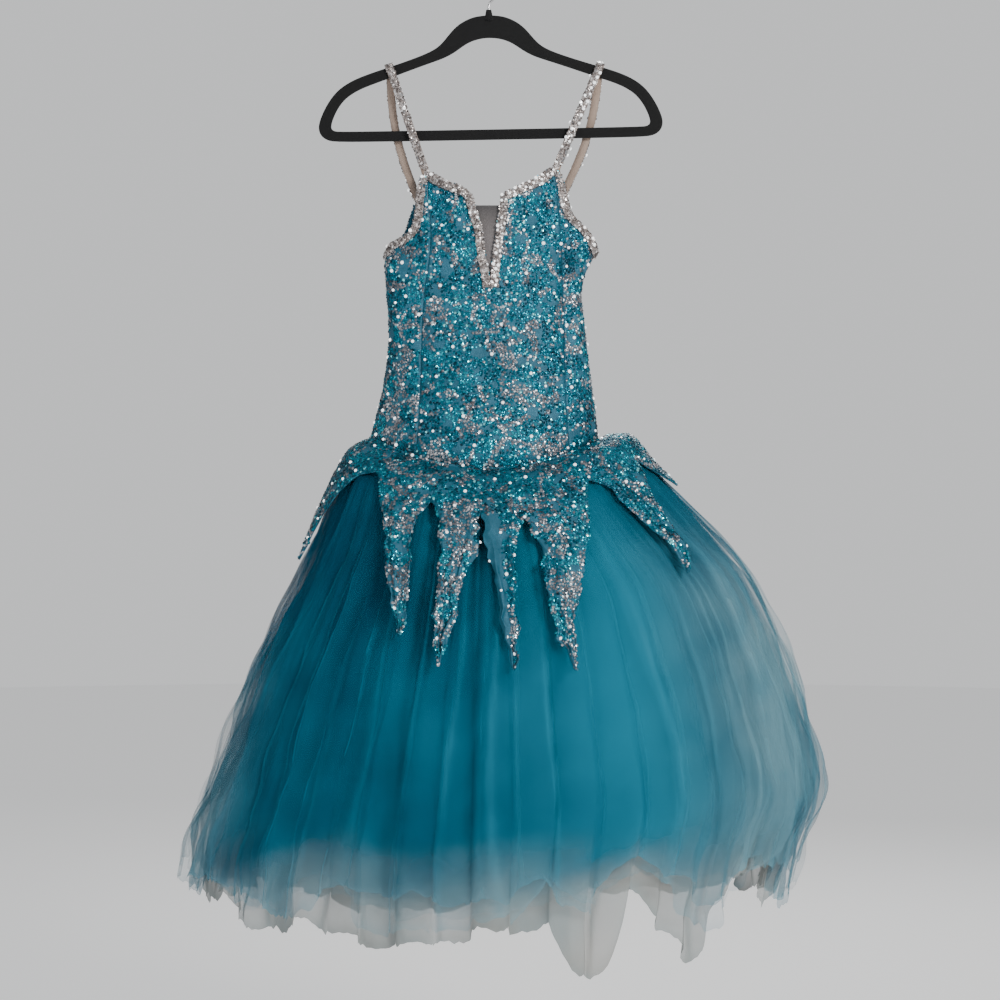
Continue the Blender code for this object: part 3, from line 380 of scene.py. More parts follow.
def make_tulle(layer, above, swing_phase, material):
    """A gathered sheet once round the skirt, open at its waist and hem, inside those above it."""
    strips = strip_maker(layer, np.random.default_rng(layer.seed + 800))
    stand_off, broad = fold_maker(layer, strips)
    random = np.random.default_rng(layer.seed + 400)
    angles = np.linspace(-math.pi, math.pi, layer.columns, endpoint=False)
    degrees = np.degrees(angles)
    rows = ring_rows(angles)
    jag = random.normal(0, 1, layer.columns)
    jag = (jag + np.roll(jag, 1) + np.roll(jag, -1)) / 3
    jag += 0.8 * wave_round(37, random, 1.0)(angles)[0]
    hem_heights = read_hem(layer.hem, degrees) + 0.0042 * jag + 0.006 * broad(angles)[0]
    bottom = levels_at(rows, hem_heights)
    down = np.linspace(0, 1, layer.rows + 1)[:, None] ** 0.92
    levels = layer.start + (bottom[None, :] - layer.start) * down
    everywhere = np.broadcast_to(angles[None, :], levels.shape)
    out = stand_off(everywhere, levels)
    for n, outer in enumerate(reversed(above)):
        out = np.minimum(out, outer(everywhere, levels) - LAYER_ROOM * (n + 1))
    swing = 0.45 / SWING_FOLDS * np.sin(2 * swing_phase(everywhere)[1]) * smooth_step(1.5, 10.5, levels)
    points = np.empty(levels.shape + (3,))
    for row in range(len(levels)):
        turned = angles + swing[row]
        points[row] = skirt_places(turned, levels[row : row + 1], out[row : row + 1])[0]
    count = layer.columns
    faces = [
        (r * count + c, (r + 1) * count + c, (r + 1) * count + (c + 1) % count, r * count + (c + 1) % count)
        for r in range(layer.rows)
        for c in range(count)
    ]
    obj = new_object(layer.name, points.reshape(-1, 3), faces)
    side = np.degrees(everywhere)
    reach = np.broadcast_to(down, levels.shape)
    streak = 0.5 + 0.5 * np.sin(broad(everywhere)[1] * 0.5 + 1.3 * np.sin(11 * everywhere + layer.seed))
    tone, fold_edge, _ = strips(everywhere, levels)
    open_part = smooth_step(3.4, 6.5, levels)
    hem_edge = smooth_step(0.982, 0.996, reach)
    near_waist = 1 - smooth_step(2.5, 6.5, levels)
    cloud = 0.5 + 0.5 * np.sin(6 * everywhere + 2.2 * np.sin(3 * levels + 5 * everywhere))
    cover = layer.cover * (0.86 + 0.28 * streak) + 0.30 * near_waist - 0.15 * smooth_step(0.80, 1.0, reach)
    cover += (0.09 * tone + 0.22 * fold_edge) * open_part + 0.15 * hem_edge
    if layer.fade:
        cover = 1.0 - layer.fade * smooth_step(0.83 + 0.08 * cloud, 1.0, reach)
    if layer.slot == "tulle_blue":
        wavy = levels + 0.5 * np.sin(9 * everywhere + layer.seed) + 0.3 * tone
        shoulder = smooth_step(56, 78, side) * (1 - smooth_step(88, 122, side))
        cover *= 1 - 0.62 * shoulder * smooth_step(4.4, 6.2, wavy) * (1 - smooth_step(6.2, 8.4, wavy))
        bare_left = smooth_step(62, 82, -side) * (1 - smooth_step(88, 112, -side))
        cover *= 1 - 0.50 * bare_left * smooth_step(7.4, 8.8, wavy) * (1 - smooth_step(8.8, 10.2, wavy))
    add_attribute(obj, "cover", np.clip(cover, 0.08, 1.0))
    # Paler on the right, at the left edge and towards the hem, where the ivory under-layer shows through, with painted
    # light on the right where the key lamp falls.
    right = smooth_step(24, 66, side) * (1 - smooth_step(150, 178, side)) * smooth_step(3.5, 7.5, levels)
    left = 0.75 * smooth_step(48, 84, -side) * (1 - smooth_step(120, 150, -side)) * smooth_step(6.2, 9.6, levels)
    low = 0.60 * smooth_step(9.1 + 0.6 * cloud, 10.7, levels)
    far_right = smooth_step(58, 76, side) * (1 - smooth_step(104, 124, side)) * smooth_step(7.2, 8.0, levels)
    pale = np.maximum(np.maximum(0.88 * right * (1 - 0.50 * far_right), left), low)
    # Painted fold shading along the broad folds and painted light on the fold edges, with the strips' own tone.
    pale += (0.16 * (streak - 0.5) + (0.12 * tone + 0.26 * fold_edge) * open_part) * (0.10 + 0.90 * pale)
    add_attribute(obj, "paleness_and_painted_light", np.clip(pale + 0.14 * hem_edge, 0, 1))
    # Painted light and shade: a painted highlight in a band round 25 degrees at the right front, darker at the far
    # right, painted shade on the left, painted fold shading along the broad folds and painted light on the fold edges;
    # the strips' tone is the tulle's own uneven colour.
    painted_light_and_tone = 0.62 * np.exp(-(((side - 25) / 17) ** 2)) * smooth_step(3.0, 5.5, levels)
    painted_light_and_tone += (0.13 * tone + 0.42 * fold_edge) * open_part + 0.12 * (streak - 0.5)
    painted_light_and_tone -= 0.16 * far_right
    painted_light_and_tone -= 0.22 * smooth_step(14, 60, -side) * (1 - smooth_step(120, 160, -side))
    add_attribute(obj, "painted_shading_and_tone", painted_light_and_tone)
    obj.data.shade_smooth()
    finish_piece(obj, material)
    if layer.node:
        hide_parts(layer.node)
    return stand_off


def finer_copy(node, name, levels):
    """A finer copy of a node, rounded everywhere but at its sharp edges."""
    mesh = nodes[node].data.copy()
    mesh.name = name
    obj = bpy.data.objects.new(name, mesh)
    bpy.context.scene.collection.objects.link(obj)
    shape = bmesh.new()
    shape.from_mesh(mesh)
    bmesh.ops.remove_doubles(shape, verts=shape.verts, dist=0.00001)
    bmesh.ops.join_triangles(
        shape,
        faces=shape.faces,
        angle_face_threshold=math.radians(35),
        angle_shape_threshold=math.radians(70),
    )
    crease = shape.edges.layers.float.new("crease_edge")
    for edge in shape.edges:
        edge.smooth = True
        if edge.calc_face_angle(0.0) > math.radians(52):
            edge[crease] = 1.0
    for face in shape.faces:
        face.smooth = True
    shape.to_mesh(mesh)
    shape.free()
    modifier = obj.modifiers.new("rounding", "SUBSURF")
    modifier.levels = levels
    modifier.render_levels = levels
    apply_modifiers(obj)
    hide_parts(node)
    return obj


def surface_of(pieces):
    """A surface to find places on, of one or more pieces."""
    points, faces = [], []
    for piece in pieces:
        start = len(points)
        points += [vertex.co.copy() for vertex in piece.data.vertices]
        faces += [tuple(corner + start for corner in face.vertices) for face in piece.data.polygons]
    return BVHTree.FromPolygons(points, faces)


def edge_angles(edge, levels):
    """Angle of a point's edge at each level, straight up from its valley."""
    return np.radians(np.interp(levels, [place[0] for place in edge], [place[1] for place in edge]))


def noise_at(places, scale, shift):
    moved = places.reshape(-1, 3) * scale + shift
    return np.array([noise.noise(Vector(place)) for place in moved]).reshape(places.shape[:-1])


def make_overskirt():
    """The pointed overskirt, one sheet whose points are folded lengthways and crumpled."""
    points, faces = [], []
    across = np.linspace(0, 1, POINT_COLUMNS + 1)
    for point in POINTS:
        tip_level = point.left[-1][0]
        levels = np.linspace(0, 1, POINT_ROWS + 1) ** 0.9 * tip_level
        left = edge_angles(point.left, levels)
        right = np.maximum(edge_angles(point.right, levels), left + math.radians(LEAST_WIDTH))
        lay = skirt_grid(point, left, right, levels, across)
        start = len(points)
        points += [tuple(place) for place in lay.reshape(-1, 3)]
        width = POINT_COLUMNS + 1
        faces += [
            (start + r * width + c, start + (r + 1) * width + c, start + (r + 1) * width + c + 1, start + r * width + c + 1)
            for r in range(POINT_ROWS)
            for c in range(POINT_COLUMNS)
        ]
    obj = new_object("pointed_overskirt", points, faces)
    shape = bmesh.new()
    shape.from_mesh(obj.data)
    bmesh.ops.remove_doubles(shape, verts=shape.verts, dist=0.00005)
    shape.to_mesh(obj.data)
    shape.free()
    obj.data.shade_smooth()
    wall = obj.modifiers.new("wall", "SOLIDIFY")
    wall.thickness = OVERSKIRT_WALL
    wall.offset = -1.0
    apply_modifiers(obj)
    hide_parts("overskirt")
    return obj


def skirt_grid(point, left, right, levels, across):
    """Places of one point of the overskirt, row by row."""
    angles = left[:, None] + (right - left)[:, None] * across[None, :]
    level_grid = np.repeat(levels[:, None], len(across), axis=1)
    flat = np.stack(
        [skirt_places(row, level[None, :], np.zeros((1, len(row))))[0] for row, level in zip(angles, level_grid)]
    )
    grown = smooth_step(2.5, 6.0, level_grid) * point.stand
    bulge = 0.0038 * np.sin(math.pi * across)[None, :] * grown
    groove = point.depth * np.exp(-(((across - point.groove) / 0.13) ** 2))[None, :] * grown
    folds = 0.0016 * np.sin(3 * 2 * math.pi * across + 9 * point.groove)[None, :] * grown
    crumpled = 0.0024 * (0.5 + 0.9 * noise_at(flat, 80.0, 3.0)) * smooth_step(2.0, 5.0, level_grid) * point.stand
    lift = OVERSKIRT_LIFT + 0.0012 * smooth_step(3.0, 7.0, level_grid) * point.stand
    out = lift + np.maximum(bulge - groove + folds + 0.0012 * grown, 0) + np.maximum(crumpled, 0)
    wander = (0.0042 * noise_at(flat, 90.0, 7.0) + 0.0022 * noise_at(flat, 230.0, 1.0)) * smooth_step(3.8, 4.8, level_grid)
    turned = angles + wander / np.maximum(np.hypot(flat[..., 0], flat[..., 1]), 0.05)
    return np.stack(
        [
            skirt_places(turn, level[None, :], off[None, :])[0]
            for turn, level, off in zip(turned, level_grid, out)
        ]
    )


def outer_triangles(obj, towards):
    """Corners and normals of the triangles that face the way that towards(middle) gives."""
    mesh = obj.data
    mesh.calc_loop_triangles()
    places = np.empty(len(mesh.vertices) * 3)
    mesh.vertices.foreach_get("co", places)
    corners = np.empty(len(mesh.loop_triangles) * 3, int)
    mesh.loop_triangles.foreach_get("vertices", corners)
    triangles = places.reshape(-1, 3)[corners.reshape(-1, 3)]
    normals = np.cross(triangles[:, 1] - triangles[:, 0], triangles[:, 2] - triangles[:, 0])
    areas = np.linalg.norm(normals, axis=1) / 2
    normals /= np.maximum(2 * areas, 1e-12)[:, None]
    facing = (normals * towards(triangles.mean(axis=1))).sum(axis=1) > 0.12
    return triangles[facing], normals[facing], areas[facing]


def away_from_body(middles):
    """Straight out from the middle of an oval body."""
    out = middles * np.array([1.0, 3.2, 0.0])
    return out / np.maximum(np.linalg.norm(out, axis=1), 1e-9)[:, None]


def away_and_up(middles):
    return away_from_body(middles) * 0.62 + np.array([0.0, 0.0, 0.78])


def away_from_loop(middles):
    """Outward from the loop that a strap makes over the hanger."""
    out = (middles + np.array([0.0, 0.0, 0.20])) * np.array([0.0, 2.5, 1.0])
    return out / np.maximum(np.linalg.norm(out, axis=1), 1e-9)[:, None]


def spread_places(obj, towards, spacing, random):
    """Places about evenly spread over the outer side of a piece, and their normals."""
    triangles, normals, areas = outer_triangles(obj, towards)
    tries = int(areas.sum() / spacing**2 * 4.2)
    chosen = random.choice(len(areas), tries, p=areas / areas.sum())
    u = np.sqrt(random.random(tries))[:, None]
    v = random.random(tries)[:, None]
    a, b, c = (triangles[chosen, n] for n in range(3))
    places = a * (1 - u) + b * u * (1 - v) + c * u * v
    cells = np.floor(places / spacing).astype(int)
    taken = {}
    kept = []
    limit = (0.80 * spacing) ** 2
    for n, (place, cell) in enumerate(zip(places.tolist(), cells.tolist())):
        near = (
            other
            for i in (-1, 0, 1)
            for j in (-1, 0, 1)
            for k in (-1, 0, 1)
            for other in taken.get((cell[0] + i, cell[1] + j, cell[2] + k), ())
        )
        if all(sum((p - q) ** 2 for p, q in zip(place, other)) > limit for other in near):
            taken.setdefault(tuple(cell), []).append(place)
            kept.append(n)
    return places[kept], normals[chosen[kept]]


def random_frames(normals, tilt, random):
    """Two directions in the face of each sequin and its own normal, tilted a little."""
    count = len(normals)
    lean = random.normal(0, tilt / 1.6, (count, 3))
    own = normals + np.clip(lean, -tilt * 1.6, tilt * 1.6)
    own /= np.linalg.norm(own, axis=1)[:, None]
    helper = random.normal(0, 1, (count, 3))
    first = np.cross(own, helper)
    first /= np.linalg.norm(first, axis=1)[:, None]
    return first, np.cross(own, first), own


def repeat_shape(name, shape_points, shape_faces, places, frames, sizes):
    """One object with a copy of a small shape at each place."""
    first, second, own = frames
    shape_points = np.asarray(shape_points)
    points = (
        places[:, None, :]
        + sizes[:, None, None]
        * (
            shape_points[None, :, 0:1] * first[:, None, :]
            + shape_points[None, :, 1:2] * second[:, None, :]
            + shape_points[None, :, 2:3] * own[:, None, :]
        )
    ).reshape(-1, 3)
    count = len(shape_points)
    faces = [
        tuple(corner + n * count for corner in face) for n in range(len(places)) for face in shape_faces
    ]
    return new_object(name, points, faces)


def take_shape(obj):
    """Points and faces of a modelled master, which goes once it is read."""
    mesh = obj.data
    points = [tuple(vertex.co) for vertex in mesh.vertices]
    faces = [tuple(face.vertices) for face in mesh.polygons]
    bpy.data.objects.remove(obj)
    bpy.data.meshes.remove(mesh)
    return points, faces


def select_level(obj, height):
    """Selects, in edit mode, the points at one height of a small master."""
    bpy.ops.mesh.select_all(action="DESELECT")
    shape = bmesh.from_edit_mesh(obj.data)
    for vertex in shape.verts:
        vertex.select = abs(vertex.co.z - height) < 0.001
    shape.select_flush(True)
    shape.select_flush(False)
    bmesh.update_edit_mesh(obj.data)


def model_sequin():
    """A cupped disc with six facets and a flat back, of radius 1."""
    bpy.ops.object.select_all(action="DESELECT")
    bpy.ops.mesh.primitive_circle_add(vertices=6, radius=1, fill_type="NGON")
    disc = bpy.context.object
    bpy.ops.object.mode_set(mode="EDIT")
    bpy.ops.mesh.select_all(action="SELECT")
    bpy.ops.mesh.extrude_region_move(TRANSFORM_OT_translate={"value": (0, 0, SEQUIN_CUP)})
    bpy.ops.mesh.merge(type="CENTER")
    bpy.ops.mesh.select_all(action="SELECT")
    bpy.ops.mesh.normals_make_consistent(inside=False)
    bpy.ops.object.mode_set(mode="OBJECT")
    return take_shape(disc)


def model_stone():
    """A cut stone with six sides, six upper facets and a flat table, of radius 1."""
    bpy.ops.object.select_all(action="DESELECT")
    bpy.ops.mesh.primitive_cylinder_add(vertices=6, radius=1, depth=0.28, location=(0, 0, 0.14))
    stone = bpy.context.object
    bpy.ops.object.transform_apply(location=True, rotation=True, scale=True)
    bpy.ops.object.mode_set(mode="EDIT")
    select_level(stone, 0.28)
    bpy.ops.transform.resize(value=(0.93, 0.93, 1), center_override=(0, 0, 0.28))
    bpy.ops.mesh.extrude_region_move(TRANSFORM_OT_translate={"value": (0, 0, 0.44)})
    bpy.ops.transform.resize(value=(0.58, 0.58, 1), center_override=(0, 0, 0.72))
    bpy.ops.mesh.select_all(action="SELECT")
    bpy.ops.mesh.normals_make_consistent(inside=False)
    bpy.ops.object.mode_set(mode="OBJECT")
    return take_shape(stone)


SEQUIN_POINTS, SEQUIN_FACES = model_sequin()
STONE_POINTS, STONE_FACES = model_stone()


def patch_noise(place, scale, shift):
    return noise.noise(Vector(place) * scale + Vector((shift, shift * 1.7, -shift)))


def sequin_kind(place, chance, richness):
    """0 for blue to 1 for silver, or None where the ground is left bare."""
    scroll = (
        abs(patch_noise(place, 23.0, 3.1)) < 0.095 + 0.12 * richness
        and patch_noise(place, 13.0, 6.6) > -0.06 - 0.26 * richness
    ) or (
        abs(patch_noise(place, 37.0, 9.4)) < 0.085 + 0.08 * richness
        and patch_noise(place, 16.0, 2.2) > 0.06 - 0.28 * richness
    )
    cloud = patch_noise(place, 55.0, 1.3)
    bare = patch_noise(place, 75.0, 14.2)
    if bare > 0.48 or (bare > 0.30 and chance < 0.5):
        return None
    if scroll:
        return 0.96 if chance < 0.86 else 0.2
    if cloud > 0.34 - 0.12 * richness:
        return 0.90 if chance < 0.70 else 0.1
    return 0.0 if chance < 0.975 else 0.85


def sequin_shades(places, random):
    """How light each sequin is: in soft patches, with a few painted glints at full shade."""
    drift = np.array([patch_noise(place, 42.0, 5.2) for place in places])
    rich = np.array([richness_of(place) for place in places])
    shades = np.clip(0.47 + 0.20 * rich + 0.55 * drift + random.normal(0, 0.21, len(places)), 0.0, 0.93)
    # Painted glints: a few sequins, more of them at the points, take the brightest colour of their run.
    return np.where(random.random(len(places)) < 0.05 + 0.05 * rich, 1.0, shades)


def richness_of(place):
    """How far the sequins turn to silver, from 0 above the hips to 1 at the points' tips."""
    return min(max((-0.66 - place[2]) / 0.20, 0.0), 1.0)


def is_turned_side(place):
    """The turned half of the middle point, which shows the bare back of its cloth."""
    return place[1] < 0 and place[2] < -0.70 and -0.008 < place[0] < 0.0128 + (-0.70 - place[2]) * 0.096


def sew_sequins(piece, name, towards, random, material, beside=None):
    """Sequins all over a piece but for a bare line along its seams with those beside it."""
    places, normals = spread_places(piece, towards, SEQUIN_SPACING, random)
    if beside:
        clear = [beside.find_nearest(Vector(place))[3] > SEAM_CLEARANCE for place in places]
        places, normals = places[clear], normals[clear]
    chances = random.random(len(places))
    kinds = [sequin_kind(place, chance, richness_of(place)) for place, chance in zip(places, chances)]
    kept = np.array(
        [n for n, kind in enumerate(kinds) if kind is not None and not is_turned_side(places[n])]
    )
    silver = np.array([kinds[n] for n in kept])
    normals = normals[kept]
    places = places[kept] + normals * SEQUIN_LIFT
    frames = random_frames(normals, SEQUIN_TILT, random)
    sizes = SEQUIN_RADIUS * random.uniform(0.80, 1.08, len(kept))
    obj = repeat_shape(name, SEQUIN_POINTS, SEQUIN_FACES, places, frames, sizes)
    each = len(SEQUIN_POINTS)
    add_attribute(obj, "silver", np.repeat(silver, each))
    add_attribute(obj, "shade", np.repeat(sequin_shades(places, random), each))
    return finish_piece(obj, material)


def set_stones(pieces, name, towards, spacing, lift, random, material):
    """Stones scattered over pieces, each piece with its own share of them."""
    all_places, all_normals = [], []
    for piece, share in pieces:
        places, normals = spread_places(piece, towards, spacing, random)
        kept = random.random(len(places)) < share
        all_places.append(places[kept])
        all_normals.append(normals[kept])
    places = np.concatenate(all_places)
    normals = np.concatenate(all_normals)
    frames = random_frames(normals, math.radians(9), random)
    sizes = STONE_RADIUS * random.uniform(0.75, 1.20, len(places))
    obj = repeat_shape(name, STONE_POINTS, STONE_FACES, places + normals * lift, frames, sizes)
    return finish_piece(obj, material)


def front_end(obj, side):
    """Middle of the front end of a band, at its top (1) or bottom (-1)."""
    places = np.array([vertex.co for vertex in obj.data.vertices])
    places = places[places[:, 1] < 0]
    heights = places[:, 2] * side
    return places[heights > heights.max() - 0.003].mean(axis=0)


def cover_corner(stops, surface, random):
    """Places and normals over a run of braid between stops, found from the front."""
    places, normals = [], []
    for start, end in zip(stops, stops[1:]):
        length = np.linalg.norm((end - start)[[0, 2]])
        across = np.array([end[2] - start[2], 0.0, start[0] - end[0]]) / length
        count = int((length + BRAID_WIDTH) * BRAID_WIDTH / BRAID_SEQUIN_SPACING**2 * 1.5)
        for _ in range(count):
            along = random.uniform(-0.15, 1.15)
            aside = random.uniform(-0.5, 0.5) * BRAID_WIDTH
            middle = start + (end - start) * along + across * aside
            hit, normal, _, _ = surface.ray_cast(Vector((middle[0], -0.4, middle[2])), Vector((0, 1, 0)))
            if hit is None or hit.y > 0:
                continue
            places.append(hit)
            normals.append(normal)
    return np.array(places), np.array(normals)


def sew_braid(pieces, name, towards, random, material, corners=()):
    """Overlapping silver sequins on the braids, and over the corners where they meet."""
    all_places, all_normals = [], []
    for piece in pieces:
        places, normals = spread_places(piece, towards, BRAID_SEQUIN_SPACING, random)
        all_places.append(places)
        all_normals.append(normals)
    for stops, surface in corners:
        places, normals = cover_corner(stops, surface, random)
        all_places.append(places)
        all_normals.append(normals)
    places = np.concatenate(all_places)
    normals = np.concatenate(all_normals)
    frames = random_frames(normals, math.radians(34), random)
    sizes = BRAID_SEQUIN_RADIUS * random.uniform(0.8, 1.1, len(places))
    obj = repeat_shape(name, SEQUIN_POINTS, SEQUIN_FACES, places + normals * 0.0006, frames, sizes)
    add_attribute(obj, "shade", np.repeat(random.random(len(places)), len(SEQUIN_POINTS)))
    return finish_piece(obj, material)


# Materials


def add_node(tree, kind, **values):
    made = tree.nodes.new(kind)
    for name, value in values.items():
        setattr(made, name, value)
    return made


def new_material(name, colour, roughness, metallic=0.0):
    material = bpy.data.materials.new(name)
    material.use_nodes = True
    shader = material.node_tree.nodes["Principled BSDF"]
    shader.inputs["Base Color"].default_value = (*colour, 1.0)
    shader.inputs["Roughness"].default_value = roughness
    shader.inputs["Metallic"].default_value = metallic
    return material, material.node_tree, shader


def attribute_of(tree, name):
    return add_node(tree, "ShaderNodeAttribute", attribute_name=name).outputs["Fac"]


def mix_colours(tree, factor, first, second):
    """A mix of two colours, each a socket or a plain colour, by a socket or a number."""
    mix = add_node(tree, "ShaderNodeMix", data_type="RGBA")
    for socket, value in ((mix.inputs[0], factor), (mix.inputs[6], first), (mix.inputs[7], second)):
        if isinstance(value, (tuple, float, int)):
            socket.default_value = (*value, 1.0) if isinstance(value, tuple) else value
        else:
            tree.links.new(value, socket)
    return mix.outputs[2]


def calculate(tree, operation, first, second, clamp=False):
    math_node = add_node(tree, "ShaderNodeMath", operation=operation, use_clamp=clamp)
    for socket, value in zip(math_node.inputs, (first, second)):
        if isinstance(value, (float, int)):
            socket.default_value = value
        else:
            tree.links.new(value, socket)
    return math_node.outputs[0]


def spread_range(tree, value, low, high, new_low, new_high):
    ranged = add_node(tree, "ShaderNodeMapRange")
    tree.links.new(value, ranged.inputs["Value"])
    for name, number in (
        ("From Min", low), ("From Max", high), ("To Min", new_low), ("To Max", new_high)
    ):
        ranged.inputs[name].default_value = number
    return ranged.outputs["Result"]


def make_net_group():
    """A fine net: its holes as a mask, its threads as a height, and a slow drift."""
    tree = bpy.data.node_groups.new("fine_net", "ShaderNodeTree")
    for name, start in (("Cells per metre", 700.0), ("Drift per metre", 9.0)):
        tree.interface.new_socket(name, in_out="INPUT", socket_type="NodeSocketFloat").default_value = start
    for name in ("Thread", "Height", "Drift"):
        tree.interface.new_socket(name, in_out="OUTPUT", socket_type="NodeSocketFloat")
    given = add_node(tree, "NodeGroupInput")
    put = add_node(tree, "NodeGroupOutput")
    place = add_node(tree, "ShaderNodeTexCoord").outputs["Object"]
    cells = add_node(tree, "ShaderNodeTexVoronoi", feature="DISTANCE_TO_EDGE")
    tree.links.new(place, cells.inputs["Vector"])
    tree.links.new(given.outputs["Cells per metre"], cells.inputs["Scale"])
    thread = spread_range(tree, cells.outputs["Distance"], 0.04, 0.22, 1.0, 0.0)
    tree.links.new(thread, put.inputs["Thread"])
    tree.links.new(thread, put.inputs["Height"])
    slow = add_node(tree, "ShaderNodeTexNoise")
    slow.inputs["Detail"].default_value = 4.0
    tree.links.new(place, slow.inputs["Vector"])
    tree.links.new(given.outputs["Drift per metre"], slow.inputs["Scale"])
    tree.links.new(slow.outputs["Fac"], put.inputs["Drift"])
    return tree


def place_group(tree, group, **numbers):
    made = add_node(tree, "ShaderNodeGroup", node_tree=group)
    for name, number in numbers.items():
        made.inputs[name.replace("_", " ")].default_value = number
    return made


def add_bump(tree, shader, height, strength, distance):
    bump = add_node(tree, "ShaderNodeBump")
    bump.inputs["Strength"].default_value = strength
    bump.inputs["Distance"].default_value = distance
    tree.links.new(height, bump.inputs["Height"])
    tree.links.new(bump.outputs["Normal"], shader.inputs["Normal"])


def tulle_material(name, group, deep, light, pale):
    """Soft net: its colour drifts from deep to light, a painted shade and a painted lit tone of it, and goes pale by
    its attribute, which is partly painted light.
    """
    material, tree, shader = new_material(name, light, 0.85)
    net = place_group(tree, group, Cells_per_metre=1300.0, Drift_per_metre=9.0)
    drift = spread_range(tree, net.outputs["Drift"], 0.36, 0.64, 0.18, 0.50)
    # Painted light: the attribute of painted light and shade, with the net's own drift, mixes the painted shaded and
    # lit colours.
    painted_shading_and_tone = calculate(tree, "ADD", attribute_of(tree, "painted_shading_and_tone"), drift, True)
    colour = mix_colours(tree, painted_shading_and_tone, deep, light)
    clouds = spread_range(tree, net.outputs["Drift"], 0.34, 0.66, 0.45, 1.55)
    paleness_and_painted_light = calculate(tree, "MULTIPLY", attribute_of(tree, "paleness_and_painted_light"), clouds, True)
    colour = mix_colours(tree, paleness_and_painted_light, colour, pale)
    tree.links.new(colour, shader.inputs["Base Color"])
    cover = attribute_of(tree, "cover")
    threads = spread_range(tree, net.outputs["Thread"], 0.0, 1.0, 0.985, 1.02)
    tree.links.new(calculate(tree, "MULTIPLY", cover, threads, True), shader.inputs["Alpha"])
    shader.inputs["Sheen Weight"].default_value = 0.35
    shader.inputs["Sheen Roughness"].default_value = 0.45
    shader.inputs["Sheen Tint"].default_value = (*light, 1.0)
    shader.inputs["Specular IOR Level"].default_value = 0.15
    add_bump(tree, shader, net.outputs["Height"], 0.02, 0.0001)
    return material


def colour_steps(tree, value, steps):
    """A run of colours along a value from 0 to 1."""
    ramp = add_node(tree, "ShaderNodeValToRGB")
    elements = ramp.color_ramp.elements
    while len(elements) < len(steps):
        elements.new(0.5)
    for element, (position, colour) in zip(elements, steps):
        element.position = position
        element.color = (*colour, 1.0)
    tree.links.new(value, ramp.inputs["Fac"])
    return ramp.outputs["Color"]


def sequin_material():
    """Deep teal, blue, bright and silver discs by each one's own attributes; the brightest are painted glints."""
    material, tree, shader = new_material("sequins", (0.0, 0.25, 0.35), 0.24, 0.74)
    silver = attribute_of(tree, "silver")
    shade = attribute_of(tree, "shade")
    # The last step of each run is a painted glint: bright cyan on blue, near white on silver.
    blue = colour_steps(tree, shade, [
        (0.0, (0.0, 0.030, 0.052)), (0.35, (0.0, 0.118, 0.182)), (0.75, (0.004, 0.250, 0.350)),
        (0.93, (0.020, 0.430, 0.530)), (0.97, (0.280, 0.950, 1.000)),
    ])
    grey = colour_steps(tree, shade, [
        (0.0, (0.135, 0.128, 0.140)), (0.5, (0.295, 0.282, 0.300)), (0.93, (0.600, 0.590, 0.610)),
        (0.97, (0.900, 0.920, 0.950)),
    ])
    tree.links.new(mix_colours(tree, silver, blue, grey), shader.inputs["Base Color"])
    tree.links.new(spread_range(tree, shade, 0.0, 1.0, 0.38, 0.20), shader.inputs["Roughness"])
    shader.inputs["Coat Weight"].default_value = 0.06
    shader.inputs["Coat Roughness"].default_value = 0.08
    return material


def braid_sequin_material():
    """Warm silver discs with painted shade and highlight, from dark ones to bright ones."""
    material, tree, shader = new_material("braid_sequins", (0.5, 0.45, 0.42), 0.28, 0.6)
    shade = attribute_of(tree, "shade")
    # Painted shade and highlight: a random shade per disc runs from a dark to a near white colour.
    colour = colour_steps(tree, shade, [
        (0.0, (0.110, 0.090, 0.085)), (0.4, (0.290, 0.250, 0.235)), (0.85, (0.600, 0.550, 0.530)),
        (1.0, (0.900, 0.880, 0.880)),
    ])
    tree.links.new(colour, shader.inputs["Base Color"])
    tree.links.new(spread_range(tree, shade, 0.0, 1.0, 0.42, 0.18), shader.inputs["Roughness"])
    return material


def ground_material(group):
    """The blue net that the sequins are sewn to, with grey-blue washes."""
    material, tree, shader = new_material("sequin_ground", (0.03, 0.17, 0.27), 0.55, 0.2)
    net = place_group(tree, group, Cells_per_metre=420.0, Drift_per_metre=38.0)
    wash = spread_range(tree, net.outputs["Drift"], 0.42, 0.6, 0.0, 1.0)
    colour = mix_colours(tree, wash, (0.006, 0.090, 0.148), (0.034, 0.172, 0.268))
    colour = mix_colours(tree, net.outputs["Thread"], colour, (0.014, 0.120, 0.185))
    tree.links.new(colour, shader.inputs["Base Color"])
    add_bump(tree, shader, net.outputs["Height"], 0.5, 0.0005)
    return material


def cloth_material(name, group, colour, other, cells, roughness, sheen):
    material, tree, shader = new_material(name, colour, roughness)
    net = place_group(tree, group, Cells_per_metre=cells, Drift_per_metre=26.0)
    drift = spread_range(tree, net.outputs["Drift"], 0.35, 0.65, 0.0, 1.0)
    mixed = mix_colours(tree, drift, colour, other)
    tree.links.new(
        mix_colours(tree, spread_range(tree, net.outputs["Thread"], 0, 1, 0, 0.35), mixed, other),
        shader.inputs["Base Color"],
    )
    tree.links.new(
        spread_range(tree, net.outputs["Drift"], 0.3, 0.7, roughness - 0.06, roughness + 0.06),
        shader.inputs["Roughness"],
    )
    shader.inputs["Sheen Weight"].default_value = sheen
    add_bump(tree, shader, net.outputs["Height"], 0.6, 0.0004)
    return material


